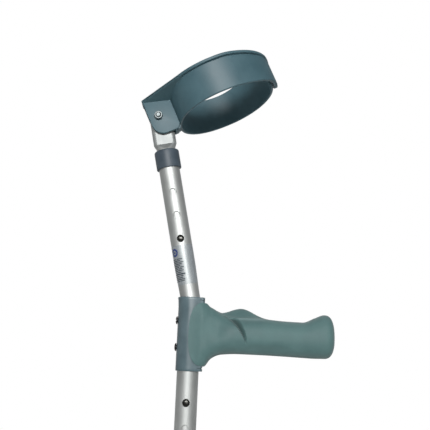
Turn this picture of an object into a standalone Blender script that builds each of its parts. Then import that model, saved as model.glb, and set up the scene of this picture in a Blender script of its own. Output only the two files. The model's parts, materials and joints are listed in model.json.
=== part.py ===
"""Forearm crutch with a closed cuff and an anatomical hand grip.

Metres, +Z up. The origin is the middle of the palm on the grip's axis. The lower tube is vertical,
the grip points along +X, and the forearm tube leans back towards -X. Buttons face -Y.
"""

import math

import bmesh
import bpy
from mathutils import Matrix, Vector

# Fits
gap = 0.0003  # between pieces that touch
bush_gap = 0.0004  # between the handle sleeve and the bent tube

# Tubes
main_diameter = 0.022
tube_wall = 0.0012
inner_diameter = main_diameter - 2 * (tube_wall + gap)  # the leg and forearm tubes slide in the main tube
bend_degrees = 12.0
bend_radius = 0.050
bend_height = 0.0325  # corner of the bend above the grip's axis
bend_flattening = 0.085  # the bend narrows the tube in its own plane
bend_flattening_reach = 0.044
palm_reach = 0.075  # tube axis to the middle of the palm
tube_sides = 28

# Height setting
hole_pitch = 0.025
leg_holes = 10
forearm_holes = 3
leg_button_drop = 0.068  # grip axis down to the first hole
forearm_button_rise = 0.0657  # bend corner up to the first hole
tail_past_button = 0.019  # inner tube past its button
main_end_past_hole = 0.030
hole_cutter_inset = 0.004  # the drill starts this far from the tube's axis, so one wall is cut
foot_drop = 0.740  # grip axis down to the floor at the shortest setting

# Snap buttons
button_diameter = 0.0070
button_flange_diameter = 0.0086
button_flange_thickness = 0.0010
button_proud = 0.0018
button_dome = 0.0015
clip_width = 0.006
clip_thickness = 0.0006
clip_length = 0.040
clip_fold_radius = 0.0022
clip_tip = 0.006  # the leg that carries the button, past it

# Collars on the main tube's ends
collar_wall = 0.0018
collar_length = 0.020
collar_cap = 0.0035
collar_bottom_rise = 0.143  # bend corner up to the upper collar
collar_round = 0.0018
collar_skirt_chamfer = 0.0005

# Forearm tube's flattened end and the pivot
flat_thickness = 0.0095
flat_start_rise = 0.1632  # bend corner up to where the flattening starts, just above the collar
flat_blend = 0.0071
pivot_rise = 0.2005
pivot_offset = -0.002
flat_past_pivot = 0.012
flat_end_round = 0.008
bolt_diameter = 0.005
bolt_head_diameter = 0.0092
bolt_head_height = 0.0032
bolt_past_nut = 0.0012
bolt_chamfer = 0.0006
nut_across_flats = 0.008
nut_height = 0.0040
pivot_washer_thickness = 0.0009
pivot_washer_diameter = 0.0115
spacer_diameter = 0.0084

# Cuff, in its own frame: origin on the pivot, +X to the front, +Z up the forearm
cuff_lean_degrees = 24.9  # from the vertical
cuff_back_reach = 0.0188  # pivot to the middle of the wall at the back
cuff_side_offset = 0.0035  # towards the far side
cuff_half_length = 0.0527  # to the middle of the wall
cuff_half_width = 0.0555
cuff_power = 2.15
cuff_wall = 0.0030
cuff_bottom = -0.0165
cuff_bottom_slope = 0.0018  # the far side hangs this much lower and the near side higher
cuff_top = 0.0228
cuff_lip_height = 0.0032
cuff_lip_width = 0.0034
cuff_outer_end_degrees = 0.5  # the near arm stops here, outside the far arm
cuff_inner_end_degrees = -16.0
cuff_overlap_clearance = 0.0038
cuff_end_drop = 0.0105  # the outer end's top edge curves down
cuff_end_drop_degrees = 85.0
cuff_outer_lip_degrees = 46.0  # the lip runs out over these angles
cuff_inner_lip_degrees = 50.0
cuff_outer_lip_start_degrees = 10.0  # the outer end has no lip up to here
cuff_lip_fit = 0.0002
cuff_end_thickening = 0.0013  # the outer arm grows thicker inwards towards its end
cuff_end_thickening_degrees = 50.0
cuff_inner_end_swell = 0.0015  # the inner arm's end stands out to meet the outer arm
cuff_inner_end_swell_degrees = 60.0
cuff_far_dip = 0.0040  # the far side's top edge dips in the middle
cuff_far_dip_degrees = 85.0  # place of the dip, from the front
cuff_far_dip_spread_degrees = 52.0
cuff_steps = 84
ear_thickness = 0.0035
ear_back = -0.0105
ear_bottom = -0.0205
ear_corner = 0.013
stop_height = 0.0035
ear_wall_bite = 0.2  # share of the wall by which the bracket runs into it
ear_step = 0.0035  # the ear's foot ends this far behind the wall
ear_step_rise = 0.001
slot_clearance = 0.0013  # between the flattened tube and the bracket's web
slot_roof = 0.0012  # web left under the roof
roof_thickness = 0.0030
roof_overhang = 0.0006
roof_inset = 0.0002  # keeps the roof under the lip's top edge
roof_steps = 24
gusset_slope = 0.46  # the underside falls inwards from the roof's edge
gusset_steps = 10
gusset_inset = 0.0004

# Handle sleeve
sleeve_half_height = 0.0370
sleeve_wall = 0.0012
sleeve_front_wall = 0.0030
sleeve_front_inset = 0.0020  # half width lost from the tube to the front
sleeve_corner = 0.0004  # taken off the front's corners
sleeve_top_step = 0.0045
core_width = 0.013
core_root_height = 0.036  # tall enough for both rivets
core_height = 0.021
core_corner = 0.003
core_wall_bite = 0.8  # share of the sleeve's wall in which the spigot is rooted
core_taper_start = 0.0176  # past the sleeve's front
core_taper_end = 0.0286
core_reach = 0.0906
rivet_diameter = 0.0048
rivet_head_diameter = 0.0082
rivet_head_height = 0.0019
rivet_spacing = 0.0270
rivet_reach = 0.0156  # past the sleeve's front

# Hand grip, measured past the sleeve's front
grip_skin = 0.0026  # over the sleeve
grip_root_reach = 0.0006
grip_root_half_height = 0.0320
grip_end = 0.1336
grip_end_start = 0.1226  # where the end starts to round
grip_end_power = 2.6
grip_sides = 28
grip_section_power = 2.3
lobe_reach = 0.0376
lobe_length = 0.0180
lobe_rise = 0.0135
lobe_turn_degrees = 62.0
lobe_spread_degrees = 34.0
lobe_lean = 0.35  # the lobe stands out to the far side too
grip_stations = [
    # reach, top, bottom, near, far
    (0.0086, 0.0272, -0.0236, 0.0172, 0.0180),
    (0.0186, 0.0205, -0.0193, 0.0185, 0.0205),
    (0.0356, 0.0170, -0.0181, 0.0165, 0.0200),
    (0.0586, 0.0182, -0.0182, 0.0160, 0.0175),
    (0.0836, 0.0168, -0.0187, 0.0165, 0.0165),
    (0.1006, 0.0165, -0.0192, 0.0170, 0.0170),
    (0.1126, 0.0212, -0.0195, 0.0180, 0.0180),
    (grip_end_start, 0.0248, -0.0193, 0.0185, 0.0185),
]
grip_flange_shares = (0.958, 0.826, 0.618, 0.340)  # rings beside the sleeve, as shares of its front
grip_ring_reaches = [grip_root_reach, 0.0046, 0.0086, 0.0136, 0.0186, 0.0246, 0.0311, 0.0376]
grip_ring_reaches += [0.0441, 0.0506, 0.0571, 0.0656, 0.0756, 0.0856, 0.0946, 0.1026, 0.1096, 0.1166]
grip_end_shares = (0.62, 0.34, 0.15, 0.04)  # rings in the rounded end, as shares of it still to go
sleeve_room_past = 0.01
core_room_start = -0.002

# Ferrule
ferrule_height = 0.050
ferrule_base_diameter = 0.036
ferrule_neck_diameter = 0.0262
ferrule_floor = 0.0215
ferrule_washer_thickness = 0.0012

# Label on the main tube
label_low_rise = 0.018
label_high_rise = 0.059
label_span_degrees = 190.0
label_lift = 0.0001
label_thickness = 0.00015

main_radius = main_diameter / 2
inner_radius = inner_diameter / 2
inner_bore = inner_radius - tube_wall
hole_radius = button_diameter / 2 + gap
ear_gap_half = flat_thickness / 2 + pivot_washer_thickness + 2 * gap + 0.0001
ear_outer = ear_gap_half + ear_thickness
cuff_centre = cuff_back_reach + cuff_half_length
sleeve_front = main_radius + bush_gap + sleeve_front_wall
sleeve_front_half_width = main_radius - sleeve_front_inset


# ---------------------------------------------------------------- helpers


def clear_scene():
    for item in list(bpy.data.objects):
        bpy.data.objects.remove(item, do_unlink=True)


def material(name, colour, roughness, metallic=0.0):
    made = bpy.data.materials.new(name)
    made.use_nodes = True
    shader = made.node_tree.nodes["Principled BSDF"]
    shader.inputs["Base Color"].default_value = (*colour, 1.0)
    shader.inputs["Roughness"].default_value = roughness
    shader.inputs["Metallic"].default_value = metallic
    made.diffuse_color = (*colour, 1.0)
    return made


def frame_empty(name, location, lean_degrees=0.0, parent=None):
    empty = bpy.data.objects.new(name, None)
    bpy.context.scene.collection.objects.link(empty)
    empty.location = location
    empty.rotation_euler = (0, math.radians(-lean_degrees), 0)
    empty.parent = parent
    return empty


def solid(name, points, faces, look, parent=None, sharp_degrees=35):
    """An object from points and faces, with its faces turned outwards."""
    mesh = bpy.data.meshes.new(name)
    work = bmesh.new()
    corners = [work.verts.new(p) for p in points]
    for face in faces:
        work.faces.new([corners[i] for i in face])
    bmesh.ops.recalc_face_normals(work, faces=work.faces)
    work.to_mesh(mesh)
    work.free()
    mesh.shade_smooth()
    mesh.set_sharp_from_angle(angle=math.radians(sharp_degrees))
    made = bpy.data.objects.new(name, mesh)
    bpy.context.scene.collection.objects.link(made)
    if look:
        mesh.materials.append(look)
    made.parent = parent
    return made


def lofted(rings, hollow=None):
    """Points and faces of a loft through equal rings; hollow gives the rings of its open bore."""
    count = len(rings[0])
    points = [p for ring in rings for p in ring]
    faces = []
    for row in range(len(rings) - 1):
        for i in range(count):
            j = (i + 1) % count
            a = row * count
            b = a + count
            faces.append((a + i, a + j, b + j, b + i))
    last = (len(rings) - 1) * count
    if hollow is None:
        faces.append(tuple(reversed(range(count))))
        faces.append(tuple(last + i for i in range(count)))
        return points, faces
    start = len(points)
    points += [p for ring in hollow for p in ring]
    for row in range(len(hollow) - 1):
        for i in range(count):
            j = (i + 1) % count
            a = start + row * count
            b = a + count
            faces.append((a + j, a + i, b + i, b + j))
    hollow_last = start + (len(hollow) - 1) * count
    for i in range(count):
        j = (i + 1) % count
        faces.append((j, i, start + i, start + j))
        faces.append((last + i, last + j, hollow_last + j, hollow_last + i))
    return points, faces


def turned(profile, sides):
    """Points and faces of a closed (radius, height) profile turned about Z."""
    points = []
    rows = []
    for radius, height in profile:
        if radius == 0:
            rows.append([len(points)] * sides)
            points.append((0, 0, height))
            continue
        rows.append([len(points) + i for i in range(sides)])
        for i in range(sides):
            turn = 2 * math.pi * (i + 0.5) / sides
            points.append((radius * math.cos(turn), radius * math.sin(turn), height))
    faces = []
    for a, b in zip(rows, rows[1:] + rows[:1]):
        for i in range(sides):
            j = (i + 1) % sides
            corners = []
            for corner in (a[i], a[j], b[j], b[i]):
                if corner not in corners:
                    corners.append(corner)
            if len(corners) > 2:
                faces.append(tuple(corners))
    return points, faces


def extruded(outline, low, high, axis="Z"):
    """Points and faces of a flat outline extruded along Z or Y."""
    if axis == "Z":
        rings = [[(x, y, h) for x, y in outline] for h in (low, high)]
    else:
        rings = [[(x, h, z) for x, z in outline] for h in (low, high)]
    return lofted(rings)


def cutter(name, shape, parent=None):
    made = solid(name, *shape, None, parent)
    made.hide_render = True
    made.display_type = "WIRE"
    return made


def rod_shape(radius, low, high, sides=20):
    return turned([(0, low), (radius, low), (radius, high), (0, high)], sides)


def along(axis, shape, origin=(0, 0, 0)):
    """Turns a shape made about Z so that it runs along +X or -Y, and moves it."""
    turn = {
        "X": Matrix.Rotation(math.radians(90), 3, "Y"),
        "-Y": Matrix.Rotation(math.radians(90), 3, "X"),
    }[axis]
    points, faces = shape
    return [tuple(turn @ Vector(p) + Vector(origin)) for p in points], faces


def combine(body, tool, operation="DIFFERENCE"):
    step = body.modifiers.new(tool.name, "BOOLEAN")
    step.operation = operation
    step.solver = "EXACT"
    step.object = tool


def arc(centre, radius, start_degrees, end_degrees, steps):
    made = []
    for i in range(steps + 1):
        turn = math.radians(start_degrees + (end_degrees - start_degrees) * i / steps)
        made.append((centre[0] + radius * math.cos(turn), centre[1] + radius * math.sin(turn)))
    return made


def dome(radius, crown, height):
    """Points of a quarter ellipse from a crown on the axis out to a full radius."""
    made = []
    for degrees in (25, 50, 75, 90):
        turn = math.radians(degrees)
        made.append((radius * math.sin(turn), crown + height * (1 - math.cos(turn))))
    return made


def smooth(value):
    value = min(max(value, 0.0), 1.0)
    return value * value * (3 - 2 * value)


# ---------------------------------------------------------------- frames


clear_scene()

tube_axis = frame_empty("tube_axis", (-palm_reach, 0, 0))
bend_corner = frame_empty("bend_corner", (0, 0, bend_height), bend_degrees, tube_axis)
cuff_pivot = frame_empty(
    "cuff_pivot",
    (pivot_offset, 0, pivot_rise),
    cuff_lean_degrees - bend_degrees,
    bend_corner,
)

anodised = material("anodised_aluminium", (0.62, 0.64, 0.64), 0.32, 1.0)
teal_plastic = material("teal_polypropylene", (0.085, 0.135, 0.145), 0.5)
soft_teal = material("soft_elastomer", (0.11, 0.18, 0.185), 0.62)
collar_plastic = material("blue_grey_plastic", (0.055, 0.075, 0.095), 0.45)
steel = material("zinc_plated_steel", (0.6, 0.6, 0.58), 0.35, 1.0)
spring_steel = material("spring_steel", (0.35, 0.36, 0.38), 0.3, 1.0)
black_steel = material("black_steel", (0.02, 0.02, 0.022), 0.4, 0.6)
black_rubber = material("grey_rubber", (0.045, 0.05, 0.052), 0.75)
clear_film = material("clear_film", (0.7, 0.74, 0.78), 0.25)


# ---------------------------------------------------------------- main tube


def main_path_point(run):
    """Centre and lean of the main tube's path; run is measured from the bend's middle."""
    half_bend = math.radians(bend_degrees) / 2
    tangent = bend_radius * math.tan(half_bend)
    arc_half = bend_radius * half_bend
    if run <= -arc_half:
        return Vector((0, 0, bend_height - tangent + (run + arc_half))), 0.0
    if run >= arc_half:
        lean = 2 * half_bend
        rise = tangent + run - arc_half
        return Vector((-rise * math.sin(lean), 0, bend_height + rise * math.cos(lean))), lean
    lean = (run + arc_half) / bend_radius
    x = -bend_radius * (1 - math.cos(lean))
    z = bend_height - tangent + bend_radius * math.sin(lean)
    return Vector((x, 0, z)), lean


def bend_narrowing(run):
    share = min(abs(run) / bend_flattening_reach, 1.0)
    return 1 - bend_flattening * (1 - share * share) ** 2


def main_ring(run, radius):
    centre, lean = main_path_point(run)
    narrow = bend_narrowing(run)
    ring = []
    for i in range(tube_sides):
        turn = 2 * math.pi * (i + 0.5) / tube_sides
        side = radius * narrow * math.cos(turn)
        x = centre.x + side * math.cos(lean)
        z = centre.z + side * math.sin(lean)
        ring.append((x, radius * math.sin(turn), z))
    return ring


bend_arc_half = bend_radius * math.radians(bend_degrees) / 2
bend_tangent = bend_radius * math.tan(math.radians(bend_degrees) / 2)
corner_shift = bend_arc_half - bend_tangent  # a height above the corner to a run along the path

main_low = -(leg_button_drop + (leg_holes - 1) * hole_pitch + main_end_past_hole)
main_low_run = main_low - bend_height - corner_shift
main_top_rise = collar_bottom_rise + collar_length - collar_cap - gap
main_top_run = main_top_rise + corner_shift

bend_runs = [bend_flattening_reach * i / 5 for i in range(-5, 6)]
main_runs = [main_low_run] + bend_runs + [main_top_run]
main_tube = solid(
    "main_tube",
    *lofted(
        [main_ring(run, main_radius) for run in main_runs],
        [main_ring(run, main_radius - tube_wall) for run in main_runs],
    ),
    anodised,
    tube_axis,
)


def button_hole(name, rise, parent):
    """A cutter from the tube's middle out through its -Y wall."""
    shape = along("-Y", rod_shape(hole_radius, hole_cutter_inset, main_radius * 1.4, 18), (0, 0, rise))
    return cutter(name, shape, parent)


for hole in range(leg_holes):
    drop = leg_button_drop + hole * hole_pitch
    combine(main_tube, button_hole(f"leg_hole_{hole + 1}", -drop, tube_axis))
for hole in range(forearm_holes):
    rise = forearm_button_rise + hole * hole_pitch
    combine(main_tube, button_hole(f"forearm_hole_{hole + 1}", rise, bend_corner))


# ---------------------------------------------------------------- inner tubes


leg_low = -foot_drop + ferrule_floor + ferrule_washer_thickness + 2 * gap
leg_high = -leg_button_drop + tail_past_button


def flat_ring(rise, width, thickness, wall=0.0):
    """A ring of the forearm tube: a circle that turns into a flat slot shape of equal girth."""
    straight = (width - thickness) / 2
    radius = thickness / 2 - wall
    ring = []
    for i in range(tube_sides):
        turn = 2 * math.pi * (i + 0.5) / tube_sides
        x = math.copysign(straight, math.cos(turn)) + radius * math.cos(turn)
        ring.append((x, radius * math.sin(turn), rise))
    return ring


def plain_tube(name, low, high, parent):
    rings = [flat_ring(z, inner_diameter, inner_diameter) for z in (low, high)]
    bore = [flat_ring(z, inner_diameter, inner_diameter, tube_wall) for z in (low, high)]
    return solid(name, *lofted(rings, bore), anodised, parent)


leg_tube = plain_tube("leg_tube", leg_low, leg_high, tube_axis)
combine(leg_tube, button_hole("leg_tube_hole", -leg_button_drop, tube_axis))

flat_width = flat_thickness + math.pi * (inner_diameter - flat_thickness) / 2
forearm_low = forearm_button_rise - tail_past_button
forearm_high = pivot_rise + flat_past_pivot


def forearm_rings(wall):
    rings = [flat_ring(forearm_low, inner_diameter, inner_diameter, wall)]
    for i in range(7):
        share = smooth(i / 6)
        width = inner_diameter + (flat_width - inner_diameter) * share
        thickness = inner_diameter + (flat_thickness - inner_diameter) * share
        rings.append(flat_ring(flat_start_rise + flat_blend * i / 6, width, thickness, wall))
    for i in range(6):
        turn = math.radians(15 * i)
        width = flat_width - 2 * flat_end_round * (1 - math.cos(turn))
        rise = forearm_high - flat_end_round + flat_end_round * math.sin(turn)
        rings.append(flat_ring(rise, width, flat_thickness, wall))
    return rings


forearm_tube = solid(
    "forearm_tube", *lofted(forearm_rings(0), forearm_rings(tube_wall)), anodised, bend_corner
)
combine(forearm_tube, button_hole("forearm_tube_hole", forearm_button_rise, bend_corner))
pivot_hole_shape = along("-Y", rod_shape(bolt_diameter / 2 + gap, -0.030, 0.030))
pivot_hole = cutter("pivot_hole", pivot_hole_shape, cuff_pivot)
combine(forearm_tube, pivot_hole)


# ---------------------------------------------------------------- snap buttons and clips


def snap_button(name, rise, parent):
    flange_radius = button_flange_diameter / 2
    flange_top = math.sqrt(inner_bore**2 - flange_radius**2) - gap
    radius = button_diameter / 2
    crown = main_radius + button_proud
    profile = [(0, flange_top - button_flange_thickness)]
    profile.append((flange_radius, flange_top - button_flange_thickness))
    profile.append((flange_radius, flange_top))
    profile.append((radius, flange_top))
    profile += reversed(dome(radius, crown, -button_dome))
    profile.append((0, crown))
    return solid(name, *along("-Y", turned(profile, 20), (0, 0, rise)), steel, parent)


def spring_clip(name, rise, direction, parent):
    """A V of spring strip under the button; direction +1 puts the fold above, -1 below."""
    flange_radius = button_flange_diameter / 2
    flange_low = math.sqrt(inner_bore**2 - flange_radius**2) - gap - button_flange_thickness
    half = clip_thickness / 2
    front = -(flange_low - gap - half)
    back = math.sqrt(inner_bore**2 - (clip_width / 2) ** 2) - gap - half
    path = [(front, -clip_tip), (front, clip_tip * 0.8)]
    path += [(y, clip_length + h) for y, h in arc((0, 0), clip_fold_radius, 180, 0, 8)]
    path.append((back, -clip_tip))
    rings = []
    for i, (y, h) in enumerate(path):
        before = Vector(path[max(i - 1, 0)])
        after = Vector(path[min(i + 1, len(path) - 1)])
        run = (after - before).normalized()
        side = Vector((-run.y, run.x)) * half
        ring = []
        for x, sign in ((-1, -1), (1, -1), (1, 1), (-1, 1)):
            point_y = y + side.x * sign
            point_z = rise + direction * (h + side.y * sign)
            ring.append((x * clip_width / 2, point_y, point_z))
        rings.append(ring)
    return solid(name, *lofted(rings), spring_steel, parent)


leg_button = snap_button("leg_button", -leg_button_drop, tube_axis)
spring_clip("leg_button_clip", -leg_button_drop, -1, tube_axis)
forearm_button = snap_button("forearm_button", forearm_button_rise, bend_corner)
spring_clip("forearm_button_clip", forearm_button_rise, 1, bend_corner)


# ---------------------------------------------------------------- collars


def collar(name, low, parent, upward=True):
    """A push-on end collar: a skirt over the main tube and a cap that guides the inner tube."""
    bore = main_radius + gap
    outer = bore + collar_wall
    guide = inner_radius + gap
    shoulder = collar_length - collar_cap
    edge = arc((outer - collar_round, collar_length - collar_round), collar_round, 0, 90, 4)
    profile = [(bore, 0), (outer - collar_skirt_chamfer, 0), (outer, collar_skirt_chamfer)]
    profile += edge
    profile += [(guide, collar_length), (guide, shoulder), (bore, shoulder)]
    points, faces = turned(profile, tube_sides)
    if not upward:
        points = [(x, y, -z) for x, y, z in points]
    points = [(x, y, z + low) for x, y, z in points]
    return solid(name, points, faces, collar_plastic, parent)


upper_collar = collar("upper_collar", collar_bottom_rise, bend_corner)
lower_collar_top = main_low - gap - collar_cap + collar_length
lower_collar = collar("lower_collar", lower_collar_top, tube_axis, upward=False)


# ---------------------------------------------------------------- handle sleeve and rivets


def sleeve_outline(extra=0.0):
    """Half circle behind the tube, tangent sides that close in on a narrower front."""
    radius = main_radius + bush_gap + sleeve_wall + extra
    front = sleeve_front + extra
    front_half = sleeve_front_half_width + extra
    outline = []
    for i in range(tube_sides):
        turn = 2 * math.pi * (i + 0.5) / tube_sides
        x = radius * math.cos(turn)
        y = radius * math.sin(turn)
        if x > 0:
            slope = abs(math.sin(turn))
            limit = front_half + (radius - front_half) * (1 - math.cos(turn) ** 2)
            reach = min(limit / max(slope, 1e-6), front / math.cos(turn))
            reach = min(reach, math.hypot(front - sleeve_corner, front_half - sleeve_corner))
            x = reach * math.cos(turn)
            y = reach * math.sin(turn)
        outline.append((x, y))
    return outline


def path_shift(height):
    """How far the bent tube's centre stands off the lower axis at a height."""
    low = bend_height - bend_tangent
    if height <= low:
        return 0.0
    lean = math.asin(min((height - low) / bend_radius, math.sin(math.radians(bend_degrees))))
    return -bend_radius * (1 - math.cos(lean))


sleeve_heights = [-sleeve_half_height, 0, bend_height - bend_tangent]
sleeve_heights += [sleeve_half_height - sleeve_top_step, sleeve_half_height]
sleeve_outer = []
sleeve_bore = []
for height in sleeve_heights:
    shift = path_shift(height)
    sleeve_outer.append([(x + shift * (x < 0), y, height) for x, y in sleeve_outline()])
    ring = []
    for i in range(tube_sides):
        turn = 2 * math.pi * (i + 0.5) / tube_sides
        radius = main_radius + bush_gap
        ring.append((radius * math.cos(turn) + shift, radius * math.sin(turn), height))
    sleeve_bore.append(ring)
handle_sleeve = solid("handle_sleeve", *lofted(sleeve_outer, sleeve_bore), teal_plastic, tube_axis)


def core_outline(height, extra):
    """The spigot's section, a rectangle with rounded corners in Y and Z."""
    half_y = core_width / 2 + extra
    half_z = height / 2 + extra
    corner = core_corner + extra
    outline = []
    for start, sign_y, sign_z in ((0, 1, 1), (90, -1, 1), (180, -1, -1), (270, 1, -1)):
        centre = (sign_y * (half_y - corner), sign_z * (half_z - corner))
        outline += arc(centre, corner, start, start + 90, 4)
    return outline


def core_shape(start, extra=0.0):
    stations = [(start, core_root_height), (core_taper_start, core_root_height)]
    stations += [(core_taper_end, core_height), (core_reach + extra, core_height)]
    stations = [(sleeve_front + reach, high) for reach, high in stations]
    return lofted([[(x, y, z) for y, z in core_outline(high, extra)] for x, high in stations])


core_start = sleeve_wall * core_wall_bite - sleeve_front_wall
combine(handle_sleeve, cutter("core_spigot", core_shape(core_start), tube_axis), "UNION")

sleeve_back = main_radius + bush_gap + sleeve_wall


def rivet(name, height):
    head_radius = rivet_head_diameter / 2
    head_low = -(sleeve_back + gap)
    crown = head_low - rivet_head_height
    profile = [(0, crown)] + dome(head_radius, crown, rivet_head_height * 0.8)
    profile += [(head_radius, head_low), (rivet_diameter / 2, head_low)]
    tip = sleeve_front + rivet_reach
    profile += [(rivet_diameter / 2, tip), (0, tip)]
    return solid(name, *along("X", turned(profile, 20), (0, 0, height)), black_steel, tube_axis)


rivets = []
for name, side in (("upper_rivet", 1), ("lower_rivet", -1)):
    height = side * rivet_spacing / 2
    rivets.append(rivet(name, height))
    tip = sleeve_front + rivet_reach + gap
    shape = along("X", rod_shape(rivet_diameter / 2 + gap, -0.030, tip), (0, 0, height))
    hole = cutter(f"{name}_hole", shape, tube_axis)
    combine(main_tube, hole)
    combine(handle_sleeve, hole)


# ---------------------------------------------------------------- hand grip


def grip_span(reach):
    """Top, bottom, near and far extents of the grip at a distance past the sleeve's front."""
    sleeve_side = main_radius + bush_gap + sleeve_wall + gap + grip_skin
    root = (grip_root_reach, grip_root_half_height, -grip_root_half_height, sleeve_side, sleeve_side)
    stations = [root] + grip_stations
    if reach <= stations[0][0]:
        return stations[0][1:]
    for low, high in zip(stations, stations[1:]):
        if reach <= high[0]:
            share = smooth((reach - low[0]) / (high[0] - low[0]))
            return tuple(a + (b - a) * share for a, b in zip(low[1:], high[1:]))
    return stations[-1][1:]


def palm_lobe(reach, turn):
    """The heel-of-hand rest that stands up along the far side."""
    along_grip = math.exp(-(((reach - lobe_reach) / lobe_length) ** 2))
    spread = math.radians(lobe_spread_degrees)
    around = math.exp(-(((turn - math.radians(lobe_turn_degrees)) / spread) ** 2))
    return lobe_rise * along_grip * around


def grip_ring(reach):
    """A section of the grip; a negative reach is beside the sleeve, where only its height closes in."""
    top, bottom, near, far = grip_span(reach)
    shrink = 1.0
    if reach < 0:
        share = 1 + reach / sleeve_front
        shrink = math.sqrt(max(1 - (1 - share) ** 2, 0.0))
    if reach > grip_end_start:
        share = (reach - grip_end_start) / (grip_end - grip_end_start)
        shrink = max(1 - share**grip_end_power, 0.0) ** (1 / grip_end_power)
    ring = []
    for i in range(grip_sides):
        turn = 2 * math.pi * (i + 0.5) / grip_sides
        power = 2 / grip_section_power
        y = math.copysign(abs(math.cos(turn)) ** power, math.cos(turn))
        z = math.copysign(abs(math.sin(turn)) ** power, math.sin(turn))
        y *= far if y > 0 else near
        z *= top if z > 0 else -bottom
        z *= shrink
        if reach > 0:
            y *= shrink
        lobe = palm_lobe(reach, turn)
        y += lobe * lobe_lean
        z += lobe
        ring.append((sleeve_front + reach, y, z))
    return ring


grip_reaches = [-sleeve_front * share for share in grip_flange_shares]
grip_reaches += grip_ring_reaches + [grip_end_start]
grip_reaches += [grip_end - (grip_end - grip_end_start) * share for share in grip_end_shares]
hand_grip = solid("hand_grip", *lofted([grip_ring(r) for r in grip_reaches]), soft_teal, tube_axis)
clearance_height = sleeve_half_height + sleeve_room_past
sleeve_room = extruded(sleeve_outline(gap), -clearance_height, clearance_height)
combine(hand_grip, cutter("sleeve_room", sleeve_room, tube_axis))
core_room = core_shape(core_room_start, gap)
combine(hand_grip, cutter("core_room", core_room, tube_axis))


# ---------------------------------------------------------------- cuff


cuff_middle = Vector((cuff_centre, cuff_side_offset))


def cuff_point(turn_degrees):
    """Middle of the cuff's wall at an angle from its front, growing where the ends overlap."""
    turn = math.radians(turn_degrees)
    part_x = abs(math.cos(turn)) / cuff_half_length
    part_y = abs(math.sin(turn)) / cuff_half_width
    radius = (part_x**cuff_power + part_y**cuff_power) ** (-1 / cuff_power)
    radius += smooth((turn_degrees + 70) / 50) * (cuff_wall + cuff_overlap_clearance)
    past_inner = cuff_inner_end_swell_degrees - 360 - turn_degrees
    radius += smooth(past_inner / cuff_inner_end_swell_degrees) * cuff_inner_end_swell
    return cuff_middle + radius * Vector((math.cos(turn), math.sin(turn)))


def cuff_band():
    """The band runs from its outer end at the front, round the near side and the back, to its inner end."""
    start = cuff_outer_end_degrees
    end = cuff_inner_end_degrees - 360
    half = cuff_wall / 2
    rings = []
    for i in range(cuff_steps + 1):
        angle = start + (end - start) * i / cuff_steps
        centre = cuff_point(angle)
        run = cuff_point(angle - 0.5) - cuff_point(angle + 0.5)
        outward = Vector((run.y, -run.x)).normalized()
        if outward.dot(centre - cuff_middle) < 0:
            outward = -outward
        from_outer = (start - angle - cuff_outer_lip_start_degrees) / cuff_outer_lip_degrees
        ends = smooth(min(from_outer, (angle - end) / cuff_inner_lip_degrees))
        lip = half + cuff_lip_fit + cuff_lip_width * ends
        thickening = smooth((angle - start) / cuff_end_thickening_degrees + 1)
        inside = -half - cuff_end_thickening * thickening
        from_dip = abs(angle + 360 - cuff_far_dip_degrees) / cuff_far_dip_spread_degrees
        top = cuff_top - cuff_end_drop * (1 - smooth((start - angle) / cuff_end_drop_degrees))
        top -= cuff_far_dip * smooth(1 - from_dip)
        lip_low = top - cuff_lip_height
        low = cuff_bottom - cuff_bottom_slope * math.sin(math.radians(angle))
        section = [(inside, low), (half, low), (half, lip_low), (lip, lip_low)]
        section += [(lip, top), (inside, top)]
        ring = []
        for out, z in section:
            point = centre + outward * out
            ring.append((point.x, point.y, z))
        rings.append(ring)
    return lofted(rings)


def ear_outline():
    bottom_left = arc((ear_back + ear_corner, ear_bottom + ear_corner), ear_corner, 180, 270, 8)
    wall = cuff_back_reach - cuff_wall * ear_wall_bite
    outline = [(ear_back, cuff_top - roof_thickness * 0.5)]
    outline += bottom_left
    outline += [(wall - ear_step, ear_bottom), (wall, cuff_bottom + ear_step_rise)]
    outline.append((wall, cuff_top - roof_thickness * 0.5))
    return outline


def roof_tangent(side):
    """Angle and place where a line from the bracket's back corner grazes the cuff's lip."""
    lip = cuff_wall / 2 + cuff_lip_width
    corner = Vector((ear_back - roof_overhang, side * ear_outer))
    best = None
    for angle in range(95, 170):
        turn = -180 - side * (180 - angle)
        middle = cuff_point(turn) - cuff_middle
        edge = cuff_middle + middle * (1 + lip / middle.length)
        steep = math.atan2(side * (edge.y - corner.y), edge.x - corner.x)
        if best is None or steep > best[0]:
            best = (steep, turn, edge)
    return corner, best[1], best[2]


def roof_outline():
    """Plate from the bracket's back corners, tangent to the cuff's lip, back along the wall's middle."""
    near_corner, near_angle, near_edge = roof_tangent(-1)
    far_corner, far_angle, far_edge = roof_tangent(1)
    outline = [near_corner[:], near_edge[:]]
    for i in range(roof_steps + 1):
        outline.append(cuff_point(near_angle + (far_angle - near_angle) * i / roof_steps)[:])
    outline += [far_edge[:], far_corner[:]]
    return outline


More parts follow.
